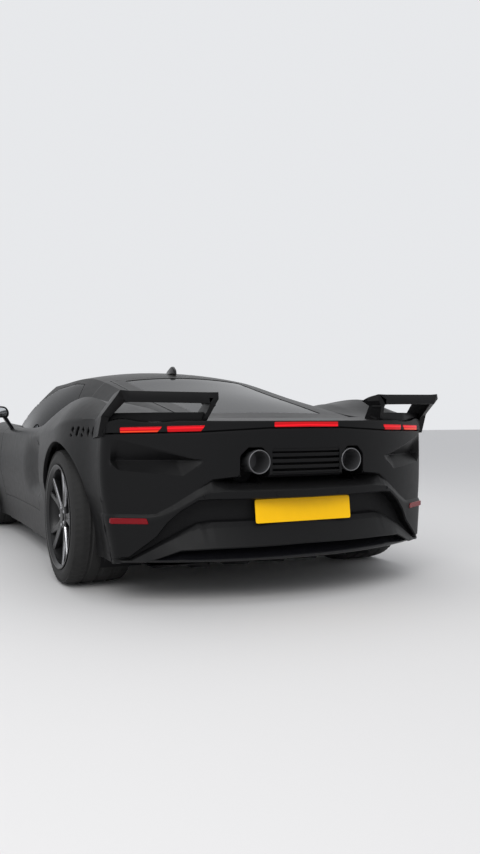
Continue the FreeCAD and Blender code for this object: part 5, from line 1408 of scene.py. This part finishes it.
class Nose(bpy.types.Operator):
    """Builds the nose's upright face with its intakes and slats, and the headlamps with their lenses and projectors"""
    bl_idname = "supercar.nose"
    bl_label = "Nose and headlamps"

    def execute(self, context):
        face = panel("nose_face", nose_wall, along(0.120, 0.640, 0.008), np.linspace(-0.96, 0.96, 241),
                     nose_wall_border, finishes["paint"], 0.004)
        as_piece(face, "body", "matte_black_paint")
        section = rounded(INTAKE_SLAT, 0.002)
        slats = mesh_rows(CENTRE_SLATS, -0.415, 0.415, section, on_nose)
        for side, _ in SIDES:
            slats += mesh_rows(SIDE_SLATS, side * 0.465, side * 0.815, section, on_nose, 30)
        as_piece(joined("front_intake_slats", slats, finishes["plastic"]), "body", "dark_plastic", "front_grille")
        back = mesh_rows((0.0,), -0.865, 0.865, np.array(INTAKE_BACK), on_nose, 80)[0]
        as_piece(merged_grid("front_intake_back", back, finishes["plastic"], closed_columns=True), "body",
                 "dark_plastic")
        for side, word in SIDES:
            across = lines(*((0, 5) if side > 0 else (-5, 0)), BODY_CELLS)
            rows = along(-2.185, -1.785, 0.008)
            cover = panel("headlamp_cover_" + word, body, rows, across, headlamp_border(0.003), finishes["lens"], 0.004)
            as_piece(cover, "body", "lamp_clear", *(("headlamps",) if side > 0 else ()))
            tray = panel("headlamp_tray_" + word, sunk(body, 0.062), rows, across, headlamp_border(-0.004),
                         finishes["plastic"], 0.004)
            as_piece(tray, "body", "dark_plastic")
            for i, (ax, ay, r) in enumerate(HEADLAMP_UNITS):
                top = float(body_top(np.array(ax), np.array(ay)))
                turn = np.linspace(0, math.pi / 2, 8)
                dome = [(0.72 * r * math.cos(a), -0.003 + 0.4 * r * math.sin(a)) for a in turn[:-1]]
                shape = [(r, -0.036), (r, 0.000), (r - 0.002, 0.002), (0.78 * r, 0.001),
                         (0.72 * r, -0.004)] + dome[1:] + [(0.001, 0.4 * r - 0.003)]
                unit = lathe("headlamp_unit_%s_%d" % (word, i), shape, (0, 0, 0), 1, finishes["bright"], 40)
                put_points(unit, mesh_points(unit) * (1, -1, 1) + (side * ax, ay + 0.012, top - 0.040))
                unit.data.flip_normals()
                as_piece(unit, "body", "cast_alloy")
        return {"FINISHED"}


MIRROR_HEAD = ((0.905, 0.872), (1.068, 0.866), (1.092, 0.892), (1.084, 0.944), (1.044, 0.962), (0.924, 0.952),
               (0.900, 0.915))
MIRROR_FOOT = ((0.850, 0.778), (0.884, 0.778), (0.946, 0.880), (0.912, 0.880))
# Each level: how far the outline is grown, and where it lies along or across the car
MIRROR_LEVELS = ((-0.036, -0.529), (-0.022, -0.525), (-0.010, -0.515), (-0.003, -0.500), (0.0, -0.480), (0.0, -0.442),
                 (-0.002, -0.436), (-0.007, -0.4345), (-0.010, -0.441))
MIRROR_GLASS_LEVELS = ((-0.012, -0.446), (-0.012, -0.4385), (-0.014, -0.4375))
MIRROR_FOOT_LEVELS = ((-0.008, -0.505), (-0.002, -0.500), (0.0, -0.490), (0.0, -0.474), (-0.002, -0.464),
                      (-0.008, -0.459))
SILENCER = ((-0.339, 0.596), (0.339, 0.596), (0.339, 0.722), (-0.339, 0.722))
SILENCER_LEVELS = ((-0.030, 1.962), (-0.008, 1.968), (0.0, 1.985), (0.0, 2.055), (-0.008, 2.072), (-0.030, 2.078))
ANTENNA_ENDS = ((-0.012, 0.0128), (-0.004, 0.0105), (0.0, 0.006))
ANTENNA = ((0.440, 1.150), (0.610, 1.150), (0.602, 1.186), (0.568, 1.210), (0.538, 1.208), (0.470, 1.180))


class MirrorsAntenna(bpy.types.Operator):
    """Builds the door mirrors with their glass, the shark fin antenna and the silencer"""
    bl_idname = "supercar.mirrors_antenna"
    bl_label = "Mirrors, antenna, silencer"

    def execute(self, context):
        for side, word in SIDES:
            def place(a, b, depth):
                return np.stack((side * a, depth, b), -1)
            rider = "door_" + word
            head = slab("mirror_head_" + word, rounded(MIRROR_HEAD, 0.024, 5), MIRROR_LEVELS, place, finishes["paint"],
                        40)
            as_piece(head, rider, "matte_black_paint", "mirror_" + word)
            glass = slab("mirror_glass_" + word, rounded(MIRROR_HEAD, 0.020, 4), MIRROR_GLASS_LEVELS, place,
                         finishes["mirror"])
            as_piece(glass, rider, "tinted_glass")
            foot = slab("mirror_foot_" + word, rounded(MIRROR_FOOT, 0.008), MIRROR_FOOT_LEVELS, place,
                        finishes["gloss"])
            as_piece(foot, rider, "gloss_black_trim")
        antenna = slab("shark_fin_antenna", rounded(ANTENNA, 0.012), both_ends(ANTENNA_ENDS), crosswise,
                       finishes["gloss"])
        as_piece(antenna, "body", "gloss_black_trim", "roof_antenna")
        silencer = slab("silencer", rounded(SILENCER, 0.040, 5), SILENCER_LEVELS, lengthwise, finishes["exhaust"])
        as_piece(silencer, "body", "exhaust_metal", "tailpipes")
        return {"FINISHED"}


# ---------------------------------------------------------------- cabin

FLOOR_TOP, SEAT_X = 0.158, 0.370
SEAT_SHELL = ((-0.262, 0.004), (0.296, 0.004), (0.462, 0.680), (0.420, 0.690), (0.268, 0.120), (0.210, 0.085),
              (-0.262, 0.070))
SEAT_PADS = (
    # name, middle as y and height over the floor, half length, half thickness, lean of its length from level
    ("seat_cushion", (-0.030, 0.150), 0.225, 0.062, math.radians(5)),
    ("seat_back", (0.318, 0.440), 0.255, 0.050, math.radians(71.5)),
)
PAD_HALF = 0.205
PAD_CAP, PAD_PRESSURE, PAD_VOXEL, PAD_FRAMES = 0.024, 4.0, 0.009, 20
PAD_CHANNELS = (-0.120, -0.040, 0.040, 0.120)
DASH_Y = -0.566
DASH_PROFILE = ((0.004, 0.562), (0.190, 0.542), (0.260, 0.640), (0.212, 0.733), (0.080, 0.763), (0.004, 0.763))
CONSOLE_PROFILE = ((0.004, 0.004), (0.896, 0.004), (0.896, 0.418), (0.300, 0.518), (0.004, 0.556))
DASH_ENDS = ((-0.030, 0.679), (-0.010, 0.674), (0.0, 0.658))
CONSOLE_ENDS = ((-0.016, 0.104), (-0.004, 0.100), (0.0, 0.090))
SHELL_ENDS = ((-0.014, 0.228), (-0.003, 0.222), (0.0, 0.210))
SPOKE_ENDS = ((-0.003, 0.0055), (0.0, 0.003))
STEER_BARS = (
    # name, outline in the wheel's plane, radius of its corners
    ("steering_spokes", ((-0.172, -0.022), (0.172, -0.022), (0.172, 0.006), (0.050, 0.020), (-0.050, 0.020),
                         (-0.172, 0.006)), 0.008),
    ("steering_spoke_low", ((-0.016, -0.154), (0.016, -0.154), (0.028, -0.020), (-0.028, -0.020)), 0.006),
)
BOSS_LEVELS = ((-0.004, -0.017), (0.0, -0.012), (0.0, 0.004), (-0.004, 0.010), (-0.014, 0.0118))
STEER_CENTRE, STEER_TILT, STEER_R, STEER_GRIP = (-0.370, -0.200, 0.690), math.radians(22), 0.178, 0.0125


def pad_points(long, thick, lean, middle):
    """A boxy closed form, |sin| and |cos| to a small power along both ways, crowned over its middle, its sides drawn in
    between its corners and its seat side raised into a bolster along both edges."""
    def power(value, e):
        return np.sign(value) * np.abs(value) ** e
    t = np.linspace(-math.pi / 2 + 0.03, math.pi / 2 - 0.03, 60)[:, None]
    a = (np.arange(72) * 2 * math.pi / 72)[None]
    across, round_off = power(np.sin(t), 0.42) + 0 * a, np.abs(np.cos(t)) ** 0.34
    p, q = power(np.cos(a), 0.40), power(np.sin(a), 0.50)
    x = PAD_HALF * across * (1 - 0.045 * (1 - p * p))
    along_pad = long * round_off * p * (1 - 0.04 * (1 - across ** 2))
    bolster = np.where(q > 0, 0.55 * np.clip((np.abs(across) - 0.62) / 0.25, 0, 1) ** 2, 0)
    height = thick * round_off * q * (0.86 + bolster)
    c, s = math.cos(lean), math.sin(lean)
    return np.stack((x + SEAT_X, middle[0] + along_pad * c - height * s,
                     FLOOR_TOP + middle[1] + along_pad * s + height * c), -1)


def puffed(piece, scene):
    """The pad blown up a little by a cloth simulation under pressure: no point moves further than the cap."""
    remesh = piece.modifiers.new("even", "REMESH")
    remesh.mode, remesh.voxel_size = "VOXEL", PAD_VOXEL
    settle(piece)
    start = mesh_points(piece)
    cloth = piece.modifiers.new("cloth", "CLOTH")
    cloth.settings.use_pressure = True
    cloth.settings.uniform_pressure_force = PAD_PRESSURE
    cloth.settings.effector_weights.gravity = 0
    cloth.settings.quality = 4
    cloth.point_cache.frame_end = PAD_FRAMES
    for k in range(1, PAD_FRAMES + 1):
        scene.frame_set(k)
    settle(piece)
    scene.frame_set(1)
    move = mesh_points(piece) - start
    far = np.linalg.norm(move, axis=1, keepdims=True)
    return start + move * np.minimum(1, PAD_CAP / np.maximum(far, 1e-9))


def settle(piece):
    """Applies a piece's modifiers to its mesh."""
    done = bpy.data.meshes.new_from_object(piece.evaluated_get(bpy.context.evaluated_depsgraph_get()))
    old = piece.data
    piece.modifiers.clear()
    piece.data = done
    bpy.data.meshes.remove(old)


class Seats(bpy.types.Operator):
    """Builds the two seats: a rigid shell each, and a padded cushion and back swollen by a cloth simulation"""
    bl_idname = "supercar.seats"
    bl_label = "Seats"

    def execute(self, context):
        low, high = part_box("seats")
        for name, middle, long, thick, lean in SEAT_PADS:
            piece = merged_grid(name + "_left", pad_points(long, thick, lean, middle), finishes["leather"],
                                closed_columns=True, sharp=60)
            points = puffed(piece, context.scene)
            c, s = math.cos(lean), math.sin(lean)
            way, out = np.array((0, c, s)), np.array((0, -s, c))
            centre = np.array((SEAT_X, middle[0], FLOOR_TOP + middle[1]))
            at = points - centre
            groove = np.max([np.clip(1 - np.abs(at[:, 0] - x) / 0.009, 0, 1) for x in PAD_CHANNELS], axis=0)
            inner = np.clip((0.86 * long - np.abs(at @ way)) / 0.012, 0, 1) * np.clip((at @ out) / 0.02, 0, 1)
            points = points - out * (0.007 * groove ** 0.6 * inner)[:, None]
            points[:, 1:] = np.clip(points[:, 1:], (low[1] + 0.001, low[2] + 0.006), (high[1] - 0.001, high[2] - 0.001))
            put_points(piece, points)
            other = bpy.data.objects.new(name + "_right", piece.data.copy())
            context.scene.collection.objects.link(other)
            put_points(other, points * (-1, 1, 1))
            other.data.flip_normals()
            for pad in (piece, other):
                pad.data.polygons.foreach_set("use_smooth", np.ones(len(pad.data.polygons), bool))
                smooth = pad.modifiers.new("smooth", "SUBSURF")
                smooth.levels = smooth.render_levels = 1
                as_piece(pad, "body", "interior_leather", *(("seats",) if pad is piece and name == "seat_back" else ()))
        for side, word in SIDES:
            shell = slab("seat_shell_" + word, rounded(SEAT_SHELL, 0.030, 4) + (0, FLOOR_TOP),
                         [(by, side * SEAT_X + x) for by, x in both_ends(SHELL_ENDS)], crosswise, finishes["plastic"])
            as_piece(shell, "body", "dark_plastic")
        return {"FINISHED"}


def on_steering(a, b, out):
    """A point of the steering wheel's own plane, leaning back by its tilt, out towards the driver."""
    a, b, out = np.broadcast_arrays(a, b, out)
    c, s = math.cos(STEER_TILT), math.sin(STEER_TILT)
    x, y, z = STEER_CENTRE
    return np.stack((x + a, y + c * out - s * b, z + s * out + c * b), -1)


class Cabin(bpy.types.Operator):
    """Builds the dashboard, centre console and steering wheel"""
    bl_idname = "supercar.cabin"
    bl_label = "Cabin"

    def execute(self, context):
        dash = slab("dashboard_top", rounded(DASH_PROFILE, 0.030, 5) + (DASH_Y, 0), both_ends(DASH_ENDS), crosswise,
                    finishes["leather"])
        as_piece(dash, "body", "interior_leather", "dashboard")
        console = slab("centre_console", rounded(CONSOLE_PROFILE, 0.030, 4) + (DASH_Y, FLOOR_TOP),
                       both_ends(CONSOLE_ENDS), crosswise, finishes["plastic"])
        as_piece(console, "body", "dark_plastic")
        turn, ring = np.linspace(0, 2 * math.pi, 97)[:-1, None], np.linspace(0, 2 * math.pi, 17)[None, :-1]
        r = np.minimum(STEER_R, 0.160 / np.maximum(-np.sin(turn), 0.2)) + STEER_GRIP * np.cos(ring)
        rim = merged_grid("steering_rim",
                          on_steering(r * np.cos(turn), r * np.sin(turn), STEER_GRIP * np.sin(ring) + 0 * turn),
                          finishes["leather"], closed_rows=True, closed_columns=True, sharp=60)
        as_piece(rim, "steering", "interior_leather", "steering_wheel")
        for name, outline, radius in STEER_BARS:
            spokes = slab(name, rounded(outline, radius), both_ends(SPOKE_ENDS), on_steering, finishes["plastic"])
            as_piece(spokes, "steering", "dark_plastic")
        angle = np.linspace(0, 2 * math.pi, 49)[:-1]
        disc = np.stack((0.044 * np.cos(angle), 0.044 * np.sin(angle)), -1)
        boss = slab("steering_boss", disc, BOSS_LEVELS, on_steering, finishes["leather"])
        as_piece(boss, "steering", "interior_leather")
        column = slab("steering_column", disc * 0.5, ((0.0, -0.165), (0.0, -0.019)), on_steering, finishes["plastic"])
        as_piece(column, "body", "dark_plastic")
        return {"FINISHED"}


# ---------------------------------------------------------------- the frame's own nodes

class FrameFinishes(bpy.types.Operator):
    """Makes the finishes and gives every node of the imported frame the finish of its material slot, welded and
    smoothed"""
    bl_idname = "supercar.frame_finishes"
    bl_label = "Frame finishes"

    def execute(self, context):
        make_finishes(context.scene.supercar)
        slots = {part["node"]: part["material_slot"] for part in frame["record"]["subparts"]}
        for name, piece in frame["nodes"].items():
            piece.data.materials.clear()
            piece.data.materials.append(finishes[FINISH_OF_SLOT[slots[name]]])
            piece.modifiers.new("weld", "WELD").merge_threshold = 0.00005
            piece.modifiers.new("edges", "EDGE_SPLIT").split_angle = math.radians(25)
            piece.data.polygons.foreach_set("use_smooth", np.ones(len(piece.data.polygons), bool))
        return {"FINISHED"}


# ---------------------------------------------------------------- camera, light, floor

STUDIO_LAMPS = (
    # name, place, turn in degrees, width and length, watts
    ("key_lamp", (3.6, 6.0, 4.4), (0, 57.6, 55.3), (3.0, 5.0), 190.0),
    ("top_lamp", (0.0, 0.0, 6.0), (0, 0, 0), (5.0, 8.0), 130.0),
)


class Stage(bpy.types.Operator):
    """Sets the camera at the photograph's angle, with soft lamps, a pale floor and a pale backdrop"""
    bl_idname = "supercar.stage"
    bl_label = "Stage"

    def execute(self, context):
        scene, look = context.scene, context.scene.supercar
        camera = bpy.data.objects.new("camera", bpy.data.cameras.new("camera"))
        scene.collection.objects.link(camera)
        stand = Matrix.Translation(look.camera_place)
        for angle, axis in ((math.pi - look.camera_yaw, "Z"), (math.pi / 2 + look.camera_pitch, "X"),
                            (look.camera_roll, "Z")):
            stand = stand @ Matrix.Rotation(angle, 4, axis)
        camera.matrix_world = stand
        camera.data.lens = look.camera_lens
        camera.data.clip_end = 200
        scene.camera = camera
        scene.view_settings.view_transform = "Standard"
        for name, place, turn, size, power in STUDIO_LAMPS:
            lamp = bpy.data.lights.new(name, "AREA")
            lamp.shape, lamp.size, lamp.size_y, lamp.energy = "RECTANGLE", size[0], size[1], power
            stand = bpy.data.objects.new(name, lamp)
            stand.location, stand.rotation_euler = place, tuple(math.radians(a) for a in turn)
            scene.collection.objects.link(stand)
        world = bpy.data.worlds.new("studio")
        world.use_nodes = True
        tree = world.node_tree
        ray = (node(tree, "ShaderNodeLightPath") + node(tree, "ShaderNodeLightPath", output=3)
               + node(tree, "ShaderNodeLightPath", output=6)).clamp()
        seen = mixed(tree, ray, (*look.sky_light, 1), (*look.backdrop_colour, 1))
        tree.links.new(seen.socket, tree.nodes["Background"].inputs["Color"])
        scene.world = world
        side = np.linspace(-40, 40, 9)
        ground = np.stack((*np.meshgrid(side, side, indexing="ij"), np.zeros((9, 9))), -1)
        floor = merged_grid("floor", ground, surface("floor", look.floor_colour, 0.8,
                            rough=lambda tree: noise(tree, object_point(tree), 3.0) * 0.1 + 0.75), flip=True)
        return {"FINISHED"}


# ---------------------------------------------------------------- add-on

class CarSettings(bpy.types.PropertyGroup):
    """Sizes and colours that a user would change"""
    paint_colour: FloatVectorProperty(name="Paint", description="Colour of the satin paint", subtype="COLOR",
                                      default=(0.0060, 0.0060, 0.0064), min=0, max=1)
    dust_colour: FloatVectorProperty(name="Dust", description="Colour of the dust on what faces up", subtype="COLOR",
                                     default=(0.013, 0.0125, 0.012), min=0, max=1)
    paint_gloss: FloatProperty(name="Paint gloss", description="How strongly the paint mirrors", default=0.13, min=0,
                               max=1)
    paint_roughness: FloatProperty(name="Paint roughness", description="How matt the paint is", default=0.42, min=0.1,
                                   max=1)
    lamp_strength: FloatProperty(name="Lamp strength", description="How brightly the tail lamps glow", default=0.95,
                                 min=0)
    plate_colour: FloatVectorProperty(name="Plate", description="Colour of the blank number plate", subtype="COLOR",
                                      default=(1.0, 0.55, 0.0), min=0, max=1)
    wall: FloatProperty(name="Panel wall", description="Thickness of the body panels", default=WALL, min=0.002,
                        unit="LENGTH")
    camera_place: FloatVectorProperty(name="Camera place", description="Where the camera stands", subtype="TRANSLATION",
                                      unit="LENGTH", default=(1.950, 5.646, 0.862))
    camera_yaw: FloatProperty(name="Camera yaw", description="Turn from looking at the nose, to its right",
                              default=math.radians(25.72), unit="ROTATION")
    camera_pitch: FloatProperty(name="Camera pitch", description="Turn upwards", default=math.radians(-0.62),
                                unit="ROTATION")
    camera_roll: FloatProperty(name="Camera roll", description="Turn about its view", default=math.radians(-0.13),
                               unit="ROTATION")
    camera_lens: FloatProperty(name="Camera lens", description="Focal length in millimetres", default=34.07, min=5)
    sky_light: FloatVectorProperty(name="Sky light", description="Colour of the light all round", subtype="COLOR",
                                   default=(0.78, 0.80, 0.84), min=0, max=1)
    backdrop_colour: FloatVectorProperty(name="Backdrop", description="Colour behind the car", subtype="COLOR",
                                         default=(0.80, 0.81, 0.83), min=0, max=1)
    floor_colour: FloatVectorProperty(name="Floor", description="Colour of the floor", subtype="COLOR",
                                      default=(0.62, 0.61, 0.60), min=0, max=1)


OPERATORS = (FrameFinishes, BodyPanels, TailPanels, TailLamps, TailFittings, TailFins, EngineLid, Nose, MirrorsAntenna,
             Wheels, Cabin, Seats, Stage)


class CarPanel(bpy.types.Panel):
    """Lists the car's pieces"""
    bl_idname = "VIEW3D_PT_supercar"
    bl_label = "Supercar"
    bl_space_type = "VIEW_3D"
    bl_region_type = "UI"
    bl_category = "Supercar"

    def draw(self, context):
        for name in CarSettings.__annotations__:
            self.layout.prop(context.scene.supercar, name)
        for operator in OPERATORS:
            self.layout.operator(operator.bl_idname)


def register():
    for each in (CarSettings, *OPERATORS, CarPanel):
        bpy.utils.register_class(each)
    bpy.types.Scene.supercar = PointerProperty(type=CarSettings)


def unregister():
    del bpy.types.Scene.supercar
    for each in (CarPanel, *reversed(OPERATORS), CarSettings):
        bpy.utils.unregister_class(each)


def main():
    register()
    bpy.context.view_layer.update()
    for operator in OPERATORS:
        group, name = operator.bl_idname.split(".")
        getattr(getattr(bpy.ops, group), name)()


if __name__ == "__main__":
    main()
